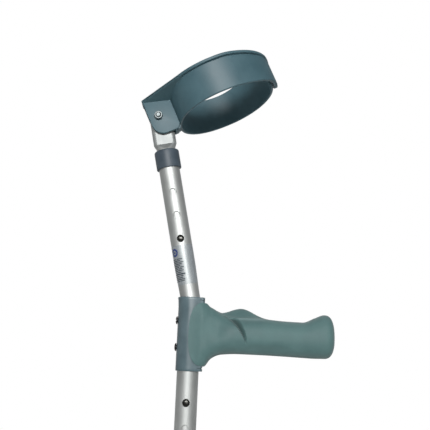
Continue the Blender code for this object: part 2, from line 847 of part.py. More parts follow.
def gusset(side):
    """The wedge under the roof between the ear, the cuff's wall and the roof's edge."""
    corner, angle, edge = roof_tangent(side)
    edge_run = (edge - corner).normalized()
    depth = ear_outer - ear_thickness / 2
    low_angle = -180 - side * math.degrees(math.asin(depth / cuff_half_width))
    inner = []
    ear_start = Vector((ear_back, side * depth))
    ear_end = Vector((cuff_point(low_angle).x, side * depth))
    for i in range(gusset_steps):
        inner.append(ear_start.lerp(ear_end, i / gusset_steps))
    for i in range(gusset_steps + 1):
        inner.append(cuff_point(low_angle + (angle - low_angle) * i / gusset_steps))
    rings = []
    for i in range(1, 2 * gusset_steps):
        outer = corner.lerp(edge, i / (2 * gusset_steps))
        point = inner[i]
        away = point - corner
        inset = abs(away.x * edge_run.y - away.y * edge_run.x)
        low = cuff_top - roof_thickness - gusset_slope * inset
        rings.append(
            [
                (outer.x, outer.y, cuff_top - gusset_inset),
                (outer.x, outer.y, cuff_top - roof_thickness),
                (point.x, point.y, low),
                (point.x, point.y, cuff_top - gusset_inset),
            ]
        )
    return lofted(rings)


cuff = solid("cuff", *cuff_band(), teal_plastic, cuff_pivot)
bracket = extruded(ear_outline(), -ear_outer, ear_outer, "Y")
combine(cuff, cutter("bracket_block", bracket, cuff_pivot), "UNION")
roof = extruded(roof_outline(), cuff_top - roof_thickness, cuff_top - roof_inset)
combine(cuff, cutter("bracket_roof", roof, cuff_pivot), "UNION")
combine(cuff, cutter("near_gusset", gusset(-1), cuff_pivot), "UNION")
combine(cuff, cutter("far_gusset", gusset(1), cuff_pivot), "UNION")

slot_front = -pivot_offset + flat_width / 2 + slot_clearance
relative_lean = math.radians(cuff_lean_degrees - bend_degrees)
stop_top = ear_bottom + stop_height
edge_reach = (-pivot_offset + flat_width / 2) / math.cos(relative_lean)
stop_reach = edge_reach + stop_top * math.tan(relative_lean) + gap
slot_high = cuff_top - roof_thickness - slot_roof
slot = [
    (ear_back - 0.02, slot_high),
    (slot_front, slot_high),
    (slot_front, stop_top),
    (stop_reach, stop_top),
    (stop_reach, ear_bottom - 0.02),
    (ear_back - 0.02, ear_bottom - 0.02),
]
slot_shape = extruded(slot, -ear_gap_half, ear_gap_half, "Y")
combine(cuff, cutter("bracket_slot", slot_shape, cuff_pivot))
combine(cuff, pivot_hole)


# ---------------------------------------------------------------- pivot fasteners


def ring_shape(inner, outer, low, high, sides=20):
    return turned([(inner, low), (outer, low), (outer, high), (inner, high)], sides)


bolt_hole_radius = bolt_diameter / 2 + gap
head_low = ear_outer + gap
nut_end = head_low + nut_height
bolt_end = nut_end + bolt_past_nut
head_crown = -(head_low + bolt_head_height)
bolt_radius = bolt_diameter / 2
head_profile = [(0, head_crown)] + dome(bolt_head_diameter / 2, head_crown, bolt_head_height * 0.65)
head_profile += [(bolt_head_diameter / 2, -head_low), (bolt_radius, -head_low)]
head_profile += [(bolt_radius, bolt_end - bolt_chamfer), (bolt_radius - bolt_chamfer, bolt_end)]
head_profile.append((0, bolt_end))
pivot_bolt = solid("pivot_bolt", *along("-Y", turned(head_profile, 20)), steel, cuff_pivot)


def hexagon(across, low, high, bore):
    """A nut about Z: a hexagon outside and a round bore, both sampled at the same angles."""
    sides = 24
    rings = []
    holes = []
    for height in (low, high):
        ring = []
        hole = []
        for i in range(sides):
            turn = 2 * math.pi * i / sides
            facet = (turn + math.pi / 6) % (math.pi / 3) - math.pi / 6
            radius = across / 2 / math.cos(facet)
            ring.append((radius * math.cos(turn), radius * math.sin(turn), height))
            hole.append((bore * math.cos(turn), bore * math.sin(turn), height))
        rings.append(ring)
        holes.append(hole)
    return lofted(rings, holes)


nut_shape = hexagon(nut_across_flats, head_low, nut_end, bolt_hole_radius)
pivot_nut = solid("pivot_nut", *along("-Y", nut_shape), steel, cuff_pivot, 20)

washer_low = flat_thickness / 2 + gap
washer_high = washer_low + pivot_washer_thickness
washer_outer = pivot_washer_diameter / 2
near_shape = ring_shape(bolt_hole_radius, washer_outer, washer_low, washer_high)
far_shape = ring_shape(bolt_hole_radius, washer_outer, -washer_high, -washer_low)
solid("near_pivot_washer", *along("-Y", near_shape), collar_plastic, cuff_pivot)
solid("far_pivot_washer", *along("-Y", far_shape), collar_plastic, cuff_pivot)

spacer_half = flat_thickness / 2 - tube_wall - gap
spacer_shape = ring_shape(bolt_hole_radius, spacer_diameter / 2, -spacer_half, spacer_half)
pivot_spacer = solid("pivot_spacer", *along("-Y", spacer_shape), steel, cuff_pivot)


# ---------------------------------------------------------------- ferrule


def ferrule_profile():
    base = ferrule_base_diameter / 2
    neck = ferrule_neck_diameter / 2
    bore = inner_radius + gap
    top = ferrule_height
    profile = [(0, 0), (base * 0.38, 0), (base * 0.38, 0.0012), (base * 0.56, 0.0012), (base * 0.56, 0)]
    profile += [(base - 0.0015, 0), (base, 0.0015), (base, 0.0060)]
    profile += [(base - 0.0022, 0.0085), (neck + 0.0014, 0.0270), (neck, 0.0300)]
    for ridge in (0.0330, 0.0385, 0.0440):
        profile += [(neck, ridge), (neck + 0.0012, ridge + 0.0010), (neck + 0.0012, ridge + 0.0026)]
        profile.append((neck, ridge + 0.0036))
    profile += [(neck, top - 0.0008), (neck - 0.0008, top), (bore, top), (bore, ferrule_floor)]
    profile.append((0, ferrule_floor))
    return [(radius, height - foot_drop) for radius, height in profile]


ferrule = solid("ferrule", *turned(ferrule_profile(), 28), black_rubber, tube_axis)
washer_base = -foot_drop + ferrule_floor + gap
ferrule_washer = solid(
    "ferrule_washer",
    *rod_shape(inner_radius - 0.0002, washer_base, washer_base + ferrule_washer_thickness, 24),
    steel,
    tube_axis,
)


# ---------------------------------------------------------------- label


def label_shape():
    """A strip of film bent round the tube's -Y side, centred a little to its back."""
    inner = main_radius + label_lift
    outer = inner + label_thickness
    step = 360 / tube_sides
    first = round((270 - label_span_degrees / 2) / step) + 0.5
    count = round(label_span_degrees / step)
    heights = [label_low_rise + (label_high_rise - label_low_rise) * i / 6 for i in range(7)]
    rings = []
    for height in heights:
        narrow = bend_narrowing(height + corner_shift)
        ring = []
        for radius, order in ((outer, range(count + 1)), (inner, range(count, -1, -1))):
            narrow_radius = radius - main_radius * (1 - narrow)
            for i in order:
                turn = math.radians((first + i) * step)
                ring.append((narrow_radius * math.cos(turn), radius * math.sin(turn), height))
        rings.append(ring)
    return lofted(rings)


solid("blank_label", *label_shape(), clear_film, bend_corner)
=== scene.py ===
import json
from math import asin, atan2, copysign, cos, degrees, exp, hypot, pi, radians, sin, sqrt, tan

import bmesh
import bpy
import numpy as np
from mathutils import Matrix, Vector


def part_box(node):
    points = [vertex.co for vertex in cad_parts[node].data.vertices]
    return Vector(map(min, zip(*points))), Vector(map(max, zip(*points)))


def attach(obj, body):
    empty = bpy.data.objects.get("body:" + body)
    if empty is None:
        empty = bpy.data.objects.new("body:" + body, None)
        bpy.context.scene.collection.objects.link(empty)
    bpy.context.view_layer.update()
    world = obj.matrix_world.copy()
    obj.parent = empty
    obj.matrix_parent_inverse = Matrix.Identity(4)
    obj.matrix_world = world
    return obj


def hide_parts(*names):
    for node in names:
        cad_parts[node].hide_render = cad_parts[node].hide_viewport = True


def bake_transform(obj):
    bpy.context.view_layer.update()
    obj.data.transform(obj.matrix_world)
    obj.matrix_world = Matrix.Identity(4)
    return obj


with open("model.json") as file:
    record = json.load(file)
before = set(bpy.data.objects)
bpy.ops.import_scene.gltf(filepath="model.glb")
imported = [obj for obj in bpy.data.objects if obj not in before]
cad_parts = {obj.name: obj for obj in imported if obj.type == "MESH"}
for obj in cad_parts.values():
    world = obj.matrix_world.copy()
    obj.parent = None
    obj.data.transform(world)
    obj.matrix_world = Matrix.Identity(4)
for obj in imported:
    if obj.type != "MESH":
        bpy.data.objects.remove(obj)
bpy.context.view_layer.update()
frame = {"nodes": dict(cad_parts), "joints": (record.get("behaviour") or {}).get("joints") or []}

joints = {joint["name"]: joint for joint in frame["joints"]}


# small helpers

def toLinear(hexColour):
    made = []
    for start in (1, 3, 5):
        value = int(hexColour[start:start + 2], 16) / 255
        made.append(value / 12.92 if value <= 0.04045 else ((value + 0.055) / 1.055) ** 2.4)
    return (*made, 1.0)


def wire(tree, source, node, name):
    # source is a socket, or a node for its first output
    tree.links.new(getattr(source, "outputs", (source,))[0], node.inputs[name])


def addNode(tree, kind, settings=None, links=None, **options):
    node = tree.nodes.new("ShaderNode" + kind)
    for name, value in options.items():
        setattr(node, name, value)
    for name, value in (settings or {}).items():
        node.inputs[name].default_value = value
    for name, source in (links or {}).items():
        wire(tree, source, node, name)
    return node


def fromTo(low, high, toLow, toHigh):
    return {"From Min": low, "From Max": high, "To Min": toLow, "To Max": toHigh}


def ease(value):
    value = min(max(value, 0.0), 1.0)
    return value * value * (3 - 2 * value)


def bell(value, middle, spread, power=2):
    return exp(-(((value - middle) / spread) ** power))


# materials

def newFinish(name, settings):
    made = bpy.data.materials.new(name)
    made.use_nodes = True
    shader = made.node_tree.nodes["Principled BSDF"]
    for key, value in settings.items():
        shader.inputs[key].default_value = value
    made.diffuse_color = settings["Base Color"]
    return made, made.node_tree, shader


def spreadTones(ramp, look, low, high):
    for end, place, shade in zip(ramp.color_ramp.elements, (low, high), ("dark", "light")):
        end.position = place
        end.color = toLinear(look[shade])


def dressShader(tree, shader, look, colour, uneven, fine, reliefMm):
    wire(tree, colour, shader, "Base Color")
    rough = addNode(tree, "MapRange", fromTo(0.3, 0.7, *look["roughnessSpan"]), {"Value": uneven})
    wire(tree, rough, shader, "Roughness")
    bump = addNode(tree, "Bump", {"Strength": look["bump"], "Distance": reliefMm / 1000}, {"Height": fine})
    wire(tree, bump, shader, "Normal")


def metalFinish(name, look):
    # drawn and polished metal: fine lines run along the piece, with a slow cloud of tone under them
    base = {"Base Color": toLinear(look["colour"]), "Metallic": look.get("metallic", 1.0)}
    base.update({"Roughness": look["roughness"], "Anisotropic": look.get("anisotropic", 0.0)})
    made, tree, shader = newFinish(name, base)
    place = addNode(tree, "Attribute", attribute_name="alongPiece")
    around = 1000 / look["lineMm"]
    stretch = addNode(tree, "Mapping", {"Scale": (around, around, around / look["lineRun"])},
        {"Vector": place.outputs["Vector"]})
    lines = addNode(tree, "TexNoise", {"Scale": 1.0, "Detail": 4.0, "Roughness": 0.6}, {"Vector": stretch})
    clouds = addNode(tree, "TexNoise", {"Scale": 1000 / look["cloudMm"], "Detail": 3.0},
        {"Vector": place.outputs["Vector"]})
    both = addNode(tree, "Math", {1: 0.45}, {0: lines, 2: clouds}, operation="MULTIPLY_ADD")
    tone = addNode(tree, "ValToRGB", None, {"Fac": both})
    spreadTones(tone, look, 0.45, 1.0)
    dressShader(tree, shader, look, tone, lines, lines, look["lineMm"] * 0.15)
    return made


def mouldedFinish(name, look):
    # a moulded surface: spark-eroded grain from the tool, flow clouds, and paler rubbed edges;
    # on a grip, a per-point attribute goes from painted shade in its crease (0) to a painted highlight along
    # its near top ridge (1)
    base = {"Base Color": toLinear(look["colour"]), "Roughness": look["roughness"], "IOR": look["ior"]}
    base.update({"Sheen Weight": look.get("sheen", 0.0), "Sheen Roughness": 0.5})
    made, tree, shader = newFinish(name, base)
    place = addNode(tree, "TexCoord")
    grain = addNode(tree, "TexNoise", {"Scale": 1000 / look["grainMm"], "Detail": 3.0, "Roughness": 0.55},
        {"Vector": place.outputs["Object"]})
    clouds = addNode(tree, "TexNoise", {"Scale": 1000 / look["cloudMm"], "Detail": 4.0, "Roughness": 0.5},
        {"Vector": place.outputs["Object"]})
    tone = addNode(tree, "ValToRGB", None, {"Fac": clouds})
    spreadTones(tone, look, 0.32, 0.68)
    shape = addNode(tree, "NewGeometry")
    rubbed = addNode(tree, "MapRange", fromTo(0.54, 0.64, 0.0, look.get("rub", 0.35)),
        {"Value": shape.outputs["Pointiness"]})
    mixed = addNode(tree, "MixRGB", {"Color2": toLinear(look["wearAndHighlight"])}, {"Fac": rubbed, "Color1": tone})
    speck = addNode(tree, "MixRGB", {"Fac": look.get("speck", 0.12)}, {"Color1": mixed, "Color2": grain},
        blend_type="OVERLAY")
    surface = speck
    if "creaseShade" in look:
        # painted shade: darkens the surface towards the crease colour where the attribute falls below 0.5
        paintedShadeAndHighlight = addNode(tree, "Attribute", attribute_name="paintedShadeAndHighlight")
        creaseShadeAmount = addNode(tree, "MapRange", fromTo(0.5, 0.0, 0.0, 0.85), {"Value": paintedShadeAndHighlight.outputs["Fac"]})
        withCreaseShade = addNode(tree, "MixRGB", {"Color2": toLinear(look["creaseShade"])},
            {"Fac": creaseShadeAmount, "Color1": surface})
        # painted highlight: lightens the ridge towards the pale edge colour where the attribute rises above
        # 0.5
        ridgeHighlightAmount = addNode(tree, "MapRange", fromTo(0.5, 1.0, 0.0, 0.55), {"Value": paintedShadeAndHighlight.outputs["Fac"]})
        withRidgeHighlight = addNode(tree, "MixRGB", {"Color2": toLinear(look["wearAndHighlight"])}, {"Fac": ridgeHighlightAmount, "Color1": withCreaseShade})
        surface = withRidgeHighlight
    dressShader(tree, shader, look, surface, clouds, grain, look["grainMm"] * 0.2)
    return made


# satin anodised aluminium: drawn tube, etched matte, so its highlight is a broad soft band.
# Real draw lines are about 0.05 mm apart; they are drawn at 0.5 mm so that they show.
anodisedAluminium = metalFinish("anodisedAluminium", {
    "colour": "#bdbfbd", "dark": "#b2b5b3", "light": "#caccca", "roughness": 0.56,
    "roughnessSpan": (0.52, 0.6), "lineMm": 0.5, "lineRun": 60, "cloudMm": 30, "bump": 0.12,
    "anisotropic": 0.2})
# zinc-plated steel: a thin bright plating with a faint blue-yellow cast
zincPlatedSteel = metalFinish("zincPlatedSteel", {
    "colour": "#c4c4bd", "dark": "#b3b6b6", "light": "#d3d0c2", "roughness": 0.24,
    "roughnessSpan": (0.2, 0.34), "lineMm": 0.4, "lineRun": 3, "cloudMm": 4, "bump": 0.1})
# the tube's pressed end: the press leaves the anodised skin stretched and duller
pressedAluminium = metalFinish("pressedAluminium", {
    "colour": "#b4b7b6", "dark": "#a8abaa", "light": "#c2c5c4", "roughness": 0.63,
    "roughnessSpan": (0.59, 0.67), "lineMm": 0.5, "lineRun": 40, "cloudMm": 9, "bump": 0.12})
# passivated zinc on the nut and bolt: duller and greyer after the chromate dip
dullZincSteel = metalFinish("dullZincSteel", {
    "colour": "#7f8787", "dark": "#6d7575", "light": "#93999a", "roughness": 0.5,
    "roughnessSpan": (0.44, 0.56), "lineMm": 0.4, "lineRun": 3, "cloudMm": 2, "bump": 0.12})
# dark oxide steel for the snap buttons: polished under a thin black film, so a lamp shows as a narrow streak
darkOxideSteel = metalFinish("darkOxideSteel", {
    "colour": "#3b3b38", "dark": "#31312f", "light": "#474744", "roughness": 0.26,
    "roughnessSpan": (0.22, 0.32), "lineMm": 0.5, "lineRun": 1, "cloudMm": 3, "bump": 0.05})
# blackened steel: the oxide leaves it nearly black and lightly oiled
blackenedSteel = metalFinish("blackenedSteel", {
    "colour": "#1b1c1d", "dark": "#141516", "light": "#2a2b2c", "roughness": 0.36, "metallic": 0.7,
    "roughnessSpan": (0.3, 0.45), "lineMm": 0.5, "lineRun": 2, "cloudMm": 3, "bump": 0.1})
# hardened spring strip: rolled, so dark grey with a shine
springStrip = metalFinish("springStrip", {
    "colour": "#6c6f73", "dark": "#5f6266", "light": "#7c7f82", "roughness": 0.3,
    "roughnessSpan": (0.24, 0.36), "lineMm": 0.4, "lineRun": 20, "cloudMm": 6, "bump": 0.1})
# moulded polypropylene: a soft satin, slightly waxy; the tool's grain of about 0.1 mm is drawn at 0.45 mm
mouldedPolypropylene = mouldedFinish("mouldedPolypropylene", {
    "colour": "#42606a", "dark": "#3d5b64", "light": "#48666f", "wearAndHighlight": "#6a868b", "roughness": 0.48,
    "ior": 1.49, "roughnessSpan": (0.45, 0.52), "grainMm": 0.45, "cloudMm": 22, "bump": 0.22})
# the handle's core moulding: the same resin from a polished tool, so glossier and greyer
polishedPolypropylene = mouldedFinish("polishedPolypropylene", {
    "colour": "#55686e", "dark": "#4f6268", "light": "#5c6f75", "wearAndHighlight": "#7c9096", "roughness": 0.35,
    "ior": 1.49, "roughnessSpan": (0.33, 0.38), "grainMm": 0.6, "cloudMm": 18, "bump": 0.08})
# thermoplastic elastomer: rubbery and matte with a faint bloom, over-moulded on the core; its crease colour is
# painted shade, and its pale edge colour also paints a highlight on the ridge
softElastomer = mouldedFinish("softElastomer", {
    "colour": "#4d6c6c", "dark": "#476666", "light": "#537372", "wearAndHighlight": "#7b9696", "roughness": 0.62,
    "ior": 1.5, "roughnessSpan": (0.56, 0.68), "grainMm": 0.5, "cloudMm": 26, "bump": 0.25, "sheen": 0.15,
    "creaseShade": "#2c403f"})
# moulded polyamide: dense and slightly shiny blue-grey
mouldedPolyamide = mouldedFinish("mouldedPolyamide", {
    "colour": "#414d57", "dark": "#3b4751", "light": "#47535d", "wearAndHighlight": "#66717a", "roughness": 0.5,
    "ior": 1.53, "roughnessSpan": (0.46, 0.54), "grainMm": 0.4, "cloudMm": 9, "bump": 0.15})
# vulcanised rubber: deep matte grey with a dusty bloom
vulcanisedRubber = mouldedFinish("vulcanisedRubber", {
    "colour": "#3a3f40", "dark": "#33383a", "light": "#434849", "wearAndHighlight": "#5a6061", "roughness": 0.78,
    "ior": 1.52, "roughnessSpan": (0.7, 0.85), "grainMm": 0.7, "cloudMm": 12, "bump": 0.35, "speck": 0.2})


def filmFinish(name, hexColour, alpha):
    # polyester film: clear and glossy, it only cools and softens what lies under it
    made, tree, shader = newFinish(name,
        {"Base Color": toLinear(hexColour), "Roughness": 0.18, "IOR": 1.57, "Alpha": alpha})
    place = addNode(tree, "TexCoord")
    mottle = addNode(tree, "TexNoise", {"Scale": 160.0, "Detail": 2.0}, {"Vector": place.outputs["Object"]})
    tone = addNode(tree, "MixRGB", {"Fac": 0.08, "Color1": toLinear(hexColour)}, {"Color2": mottle},
        blend_type="MULTIPLY")
    wire(tree, tone, shader, "Base Color")
    bump = addNode(tree, "Bump", {"Strength": 0.08, "Distance": 0.0002}, {"Height": mottle})
    wire(tree, bump, shader, "Normal")
    return made


clearPolyester = filmFinish("clearPolyester", "#b4c3d2", 0.1)
printedBlue = filmFinish("printedBlue", "#39477c", 1.0)
printedGrey = filmFinish("printedGrey", "#4a5056", 1.0)
print("materials made")


# mesh helpers

def skin(rings, bore=None):
    # a closed skin over rings, with flat ends or with a bore right through
    count = len(rings[0])
    last = (len(rings) - 1) * count
    points = [tuple(p) for ring in rings + (bore or []) for p in ring]
    pairs = [(i, (i + 1) % count) for i in range(count)]
    faces = [(a + i, a + j, a + count + j, a + count + i) for a in range(0, last, count) for i, j in pairs]
    if bore is None:
        return points, faces + [tuple(reversed(range(count))), tuple(range(last, last + count))]
    start = last + count
    boreLast = start + (len(bore) - 1) * count
    faces += [(a + j, a + i, a + count + i, a + count + j) for a in range(start, boreLast, count) for i,
        j in pairs]
    for i, j in pairs:
        faces.append((j, i, start + i, start + j))
        faces.append((last + i, last + j, boreLast + j, boreLast + i))
    return points, faces


def polar(radius, turn):
    return radius * cos(turn), radius * sin(turn)


def dome(radius, crown, depth):
    made = [(0, crown)]
    for i in range(1, 11):
        turn = radians(9 * i)
        made.append((radius * sin(turn), crown + depth * (1 - cos(turn))))
    return made


def lifted(height):
    return Matrix.Translation((0, 0, height))


def spun(angle, axis):
    return Matrix.Rotation(radians(angle), 4, axis)


def lathe(profile, sides):
    points, rows, faces = [], [], []
    for radius, height in profile:
        if radius < 1e-9:
            rows.append([len(points)] * sides)
            points.append((0, 0, height))
            continue
        rows.append([len(points) + i for i in range(sides)])
        for i in range(sides):
            points.append((*polar(radius, 2 * pi * i / sides), height))
    for a, b in zip(rows, rows[1:] + rows[:1]):
        for i in range(sides):
            j = (i + 1) % sides
            corners = tuple(dict.fromkeys((a[i], a[j], b[j], b[i])))
            if len(corners) > 2:
                faces.append(corners)
    return points, faces


def slab(outline, low, high, axis="Z"):
    if axis == "Z":
        return skin([[(x, y, h) for x, y in outline] for h in (low, high)])
    return skin([[(x, h, z) for x, z in outline] for h in (low, high)])


def merge(*shapes):
    points, faces = [], []
    for shape in shapes:
        start = len(points)
        points += list(shape[0])
        faces += [tuple(start + i for i in face) for face in shape[1]]
    return points, faces


def moved(shape, matrix):
    return [tuple(matrix @ Vector(p)) for p in shape[0]], shape[1]


def newObject(name, data):
    made = bpy.data.objects.new(name, data)
    bpy.context.scene.collection.objects.link(made)
    return made


def meshObject(name, shape):
    mesh = bpy.data.meshes.new(name)
    mesh.from_pydata([tuple(p) for p in shape[0]], [], shape[1])
    mesh.update()
    work = bmesh.new()
    work.from_mesh(mesh)
    bmesh.ops.recalc_face_normals(work, faces=work.faces)
    work.to_mesh(mesh)
    work.free()
    return newObject(name, mesh)


def settle(piece):
    # applies the modifiers and leaves a plain mesh
    bpy.context.view_layer.update()
    ready = piece.evaluated_get(bpy.context.evaluated_depsgraph_get())
    mesh = bpy.data.meshes.new_from_object(ready)
    piece.modifiers.clear()
    old = piece.data
    piece.data = mesh
    bpy.data.meshes.remove(old)


def carve(piece, shapes):
    tools = [meshObject(f"tool{i}", shape) for i, shape in enumerate(shapes)]
    for tool in tools:
        step = piece.modifiers.new(tool.name, "BOOLEAN")
        step.operation = "DIFFERENCE"
        step.solver = "EXACT"
        step.object = tool
    settle(piece)
    for tool in tools:
        bpy.data.objects.remove(tool)


def soften(piece, width):
    step = piece.modifiers.new("edges", "BEVEL")
    step.width = width
    step.segments = 3
    step.limit_method = "ANGLE"
    step.angle_limit = radians(40)
    settle(piece)


def positions(mesh):
    found = np.zeros(len(mesh.vertices) * 3)
    mesh.vertices.foreach_get("co", found)
    return found.reshape(-1, 3)


def finishPiece(piece, matrix, body, node, material, sharp=38):
    mesh = piece.data
    mesh.materials.clear()
    mesh.materials.append(material)
    if "alongPiece" not in mesh.attributes:
        lines = mesh.attributes.new("alongPiece", "FLOAT_VECTOR", "POINT")
        lines.data.foreach_set("vector", positions(mesh).ravel())
    if sharp:
        mesh.shade_smooth()
        mesh.set_sharp_from_angle(angle=radians(sharp))
    mesh.transform(matrix)
    mesh.update()
    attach(piece, body)
    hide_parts(node)
    return piece


def keepNode(node, material):
    target = frame["nodes"][node]
    target.data.materials.clear()
    target.data.materials.append(material)


def roundTube(piece, centreline):
    # gives a straight tube about Z true round shading, then bends it along centreline(run) -> point, lean
    mesh = piece.data
    points = positions(mesh)
    lines = mesh.attributes.new("alongPiece", "FLOAT_VECTOR", "POINT")
    lines.data.foreach_set("vector", points.ravel())
    normals = []
    for face in mesh.polygons:
        for i in face.vertices:
            x, y, run = points[i]
            size = hypot(x, y) or 1.0
            out = Vector((x / size, y / size, 0))
            lean = centreline(run)[1]
            facing = face.normal.dot(out)
            normal = out if facing > 0.75 else -out if facing < -0.75 else face.normal
            normals.append(Matrix.Rotation(-lean, 3, "Y") @ normal)
    bent = []
    for x, y, run in points:
        centre, lean, narrow = centreline(run)
        bent.append(centre + Vector((x * narrow * cos(lean), y, x * narrow * sin(lean))))
    mesh.vertices.foreach_set("co", np.array(bent).ravel())
    mesh.shade_smooth()
    mesh.update()
    mesh.normals_split_custom_set([tuple(n) for n in normals])


def arc(centre, radius, start, end, steps):
    made = []
    for i in range(steps + 1):
        x, y = polar(radius, radians(start + (end - start) * i / steps))
        made.append((centre[0] + x, centre[1] + y))
    return made


def filleted(corners, radii, steps):
    # an outline with each corner rounded by its own radius; every corner gives steps + 1 points
    made = []
    count = len(corners)
    for i in range(count):
        here = Vector(corners[i])
        before = Vector(corners[i - 1]) - here
        after = Vector(corners[(i + 1) % count]) - here
        cut = min(radii[i], before.length * 0.49, after.length * 0.49)
        start = here + before.normalized() * cut
        end = here + after.normalized() * cut
        for k in range(steps + 1):
            t = k / steps
            point = start * (1 - t) ** 2 + here * 2 * t * (1 - t) + end * t * t
            made.append((point.x, point.y))
    return made


toFront = spun(90, "X")  # a shape made about Z then points along -Y
toPalm = spun(90, "Y")  # and along +X


# frames of the crutch

legLow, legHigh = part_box("leg_tube")
tubeX = (legLow.x + legHigh.x) / 2
slideAxis = Vector(joints["forearm_height"]["axis"])
lean = atan2(-slideAxis.x, slideAxis.z)
pivot = Vector(joints["cuff_tilt"]["pos_m"])

layout = {
    "bendHeight": 0.0325, "bendRadius": 0.050, "bendNarrowing": 0.085, "bendReach": 0.044, "cuffLean": 24.9,
    "mainTop": 0.1592, "gap": 0.0003, "mainRadius": 0.011, "wall": 0.0012, "innerRadius": 0.0095,
    "holeRadius": 0.0038, "holePitch": 0.025, "legButtonDrop": 0.068, "legHoles": 10,
    "forearmButtonRise": 0.0657, "forearmHoles": 3, "tubeSides": 96}
mainRadius = layout["mainRadius"]
innerRadius = layout["innerRadius"]
wall = layout["wall"]
gap = layout["gap"]
bendHeight = layout["bendHeight"]
bendRadius = layout["bendRadius"]
tubeSides = layout["tubeSides"]
tubeFrame = Matrix.Translation((tubeX, 0, 0))
bendFrame = tubeFrame @ lifted(bendHeight) @ Matrix.Rotation(-lean, 4, "Y")
cuffFrame = Matrix.Translation(pivot) @ spun(-layout["cuffLean"], "Y")
arcHalf = bendRadius * lean / 2
tangent = bendRadius * tan(lean / 2)
cornerShift = arcHalf - tangent


def mainCentreline(run):
    share = min(abs(run) / layout["bendReach"], 1.0)
    narrow = 1 - layout["bendNarrowing"] * (1 - share * share) ** 2
    if run <= -arcHalf:
        return Vector((0, 0, bendHeight - tangent + run + arcHalf)), 0.0, narrow
    if run >= arcHalf:
        rise = tangent + run - arcHalf
        return Vector((-rise * sin(lean), 0, bendHeight + rise * cos(lean))), lean, narrow
    turn = (run + arcHalf) / bendRadius
    x = -bendRadius * (1 - cos(turn))
    return Vector((x, 0, bendHeight - tangent + bendRadius * sin(turn))), turn, narrow


def straightLine(run):
    return Vector((0, 0, run)), 0.0, 1.0


def circle(radius, height):
    return [(*polar(radius, 2 * pi * i / tubeSides), height) for i in range(tubeSides)]


def buttonHole(run, edge):
    # a drilled hole through the -Y wall, with its outer edge just broken by the deburring tool
    radius, broken = layout["holeRadius"], layout["holeRadius"] + 0.0006
    profile = [(0, 0.004), (radius, 0.004), (radius, edge - 0.0003), (broken, edge + 0.0003)]
    profile += [(broken, edge + 0.003), (0, edge + 0.003)]
    return moved(lathe(profile, 40), lifted(run) @ toFront)


# main tube: bent once above the handle, with a row of holes at each end

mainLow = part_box("main_tube")[0].z
runs = [mainLow - bendHeight - cornerShift]
runs += [layout["bendReach"] * i / 16 for i in range(-16, 17)]
runs.append(layout["mainTop"] + cornerShift)
outer = [circle(mainRadius, run) for run in runs]
inner = [circle(mainRadius - wall, run) for run in runs]
mainTube = meshObject("mainTube", skin(outer, inner))
holes = []
for i in range(layout["legHoles"]):
    drop = layout["legButtonDrop"] + i * layout["holePitch"]
    holes.append(buttonHole(-drop - bendHeight - cornerShift, mainRadius))
for i in range(layout["forearmHoles"]):
    rise = layout["forearmButtonRise"] + i * layout["holePitch"]
    holes.append(buttonHole(rise + cornerShift, mainRadius))
carve(mainTube, holes)
roundTube(mainTube, mainCentreline)
finishPiece(mainTube, tubeFrame, "frame", "main_tube", anodisedAluminium, sharp=0)
print("main tube made")


# leg tube

outer, inner = [[circle(radius, z) for z in (legLow.z, legHigh.z)]
    for radius in (innerRadius, innerRadius - wall)]
legTube = meshObject("legTube", skin(outer, inner))
carve(legTube, [buttonHole(-layout["legButtonDrop"], innerRadius)])
roundTube(legTube, straightLine)
finishPiece(legTube, tubeFrame, "leg", "leg_tube", anodisedAluminium, sharp=0)


# forearm tube: round below, pressed flat above where the cuff's bracket holds it

flatEnd = {
    "thickness": 0.0095, "start": 0.1632, "blend": 0.0071, "pivotRise": 0.2005, "past": 0.012, "round": 0.008,
    "pressCurve": 1.35, "low": 0.0485, "pivotOffset": -0.002, "boltHole": 0.0028}


def flatRing(rise, width, thickness, inset=0.0):
    straight = (width - thickness) / 2
    radius = thickness / 2 - inset
    ring = []
    for i in range(tubeSides):
        turn = 2 * pi * (i + 0.5) / tubeSides
        ring.append((copysign(straight, cos(turn)) + radius * cos(turn), radius * sin(turn), rise))
    return ring


def forearmRings(inset):
    full = 2 * innerRadius
    flatWidth = flatEnd["thickness"] + pi * (full - flatEnd["thickness"]) / 2
    rings = [flatRing(flatEnd["low"], full, full, inset)]
    for i in range(15):
        share = (i / 14) ** flatEnd["pressCurve"]
        width = full + (flatWidth - full) * share
        thickness = full + (flatEnd["thickness"] - full) * share
        rings.append(flatRing(flatEnd["start"] + flatEnd["blend"] * i / 14, width, thickness, inset))
    high = flatEnd["pivotRise"] + flatEnd["past"]
    for i in range(10):
        turn = radians(8.6 * i)
        width = flatWidth - 2 * flatEnd["round"] * (1 - cos(turn))
        rings.append(flatRing(high - flatEnd["round"] + flatEnd["round"] * sin(turn), width,
            flatEnd["thickness"], inset))
    return rings


forearmTube = meshObject("forearmTube", skin(forearmRings(0), forearmRings(wall)))
pivotPlace = Matrix.Translation((flatEnd["pivotOffset"], 0, flatEnd["pivotRise"])) @ toFront
pivotHole = moved(lathe([(0, -0.03), (flatEnd["boltHole"], -0.03), (flatEnd["boltHole"], 0.03), (0, 0.03)],
    32), pivotPlace)
carve(forearmTube, [buttonHole(layout["forearmButtonRise"], innerRadius), pivotHole])
finishPiece(forearmTube, bendFrame, "forearm", "forearm_tube", anodisedAluminium,
    sharp=24)
forearmTube.data.materials.append(pressedAluminium)
toBend = bendFrame.inverted()
for face in forearmTube.data.polygons:
    if (toBend @ face.center).z > flatEnd["start"] + flatEnd["blend"] * 0.5:
        face.material_index = 1
print("inner tubes made")


# snap buttons: turned pins under a dark film, with a domed end

button = {"radius": 0.0035, "proud": 0.0018, "dome": 0.0011, "flange": 0.0043, "flangeThickness": 0.0010}


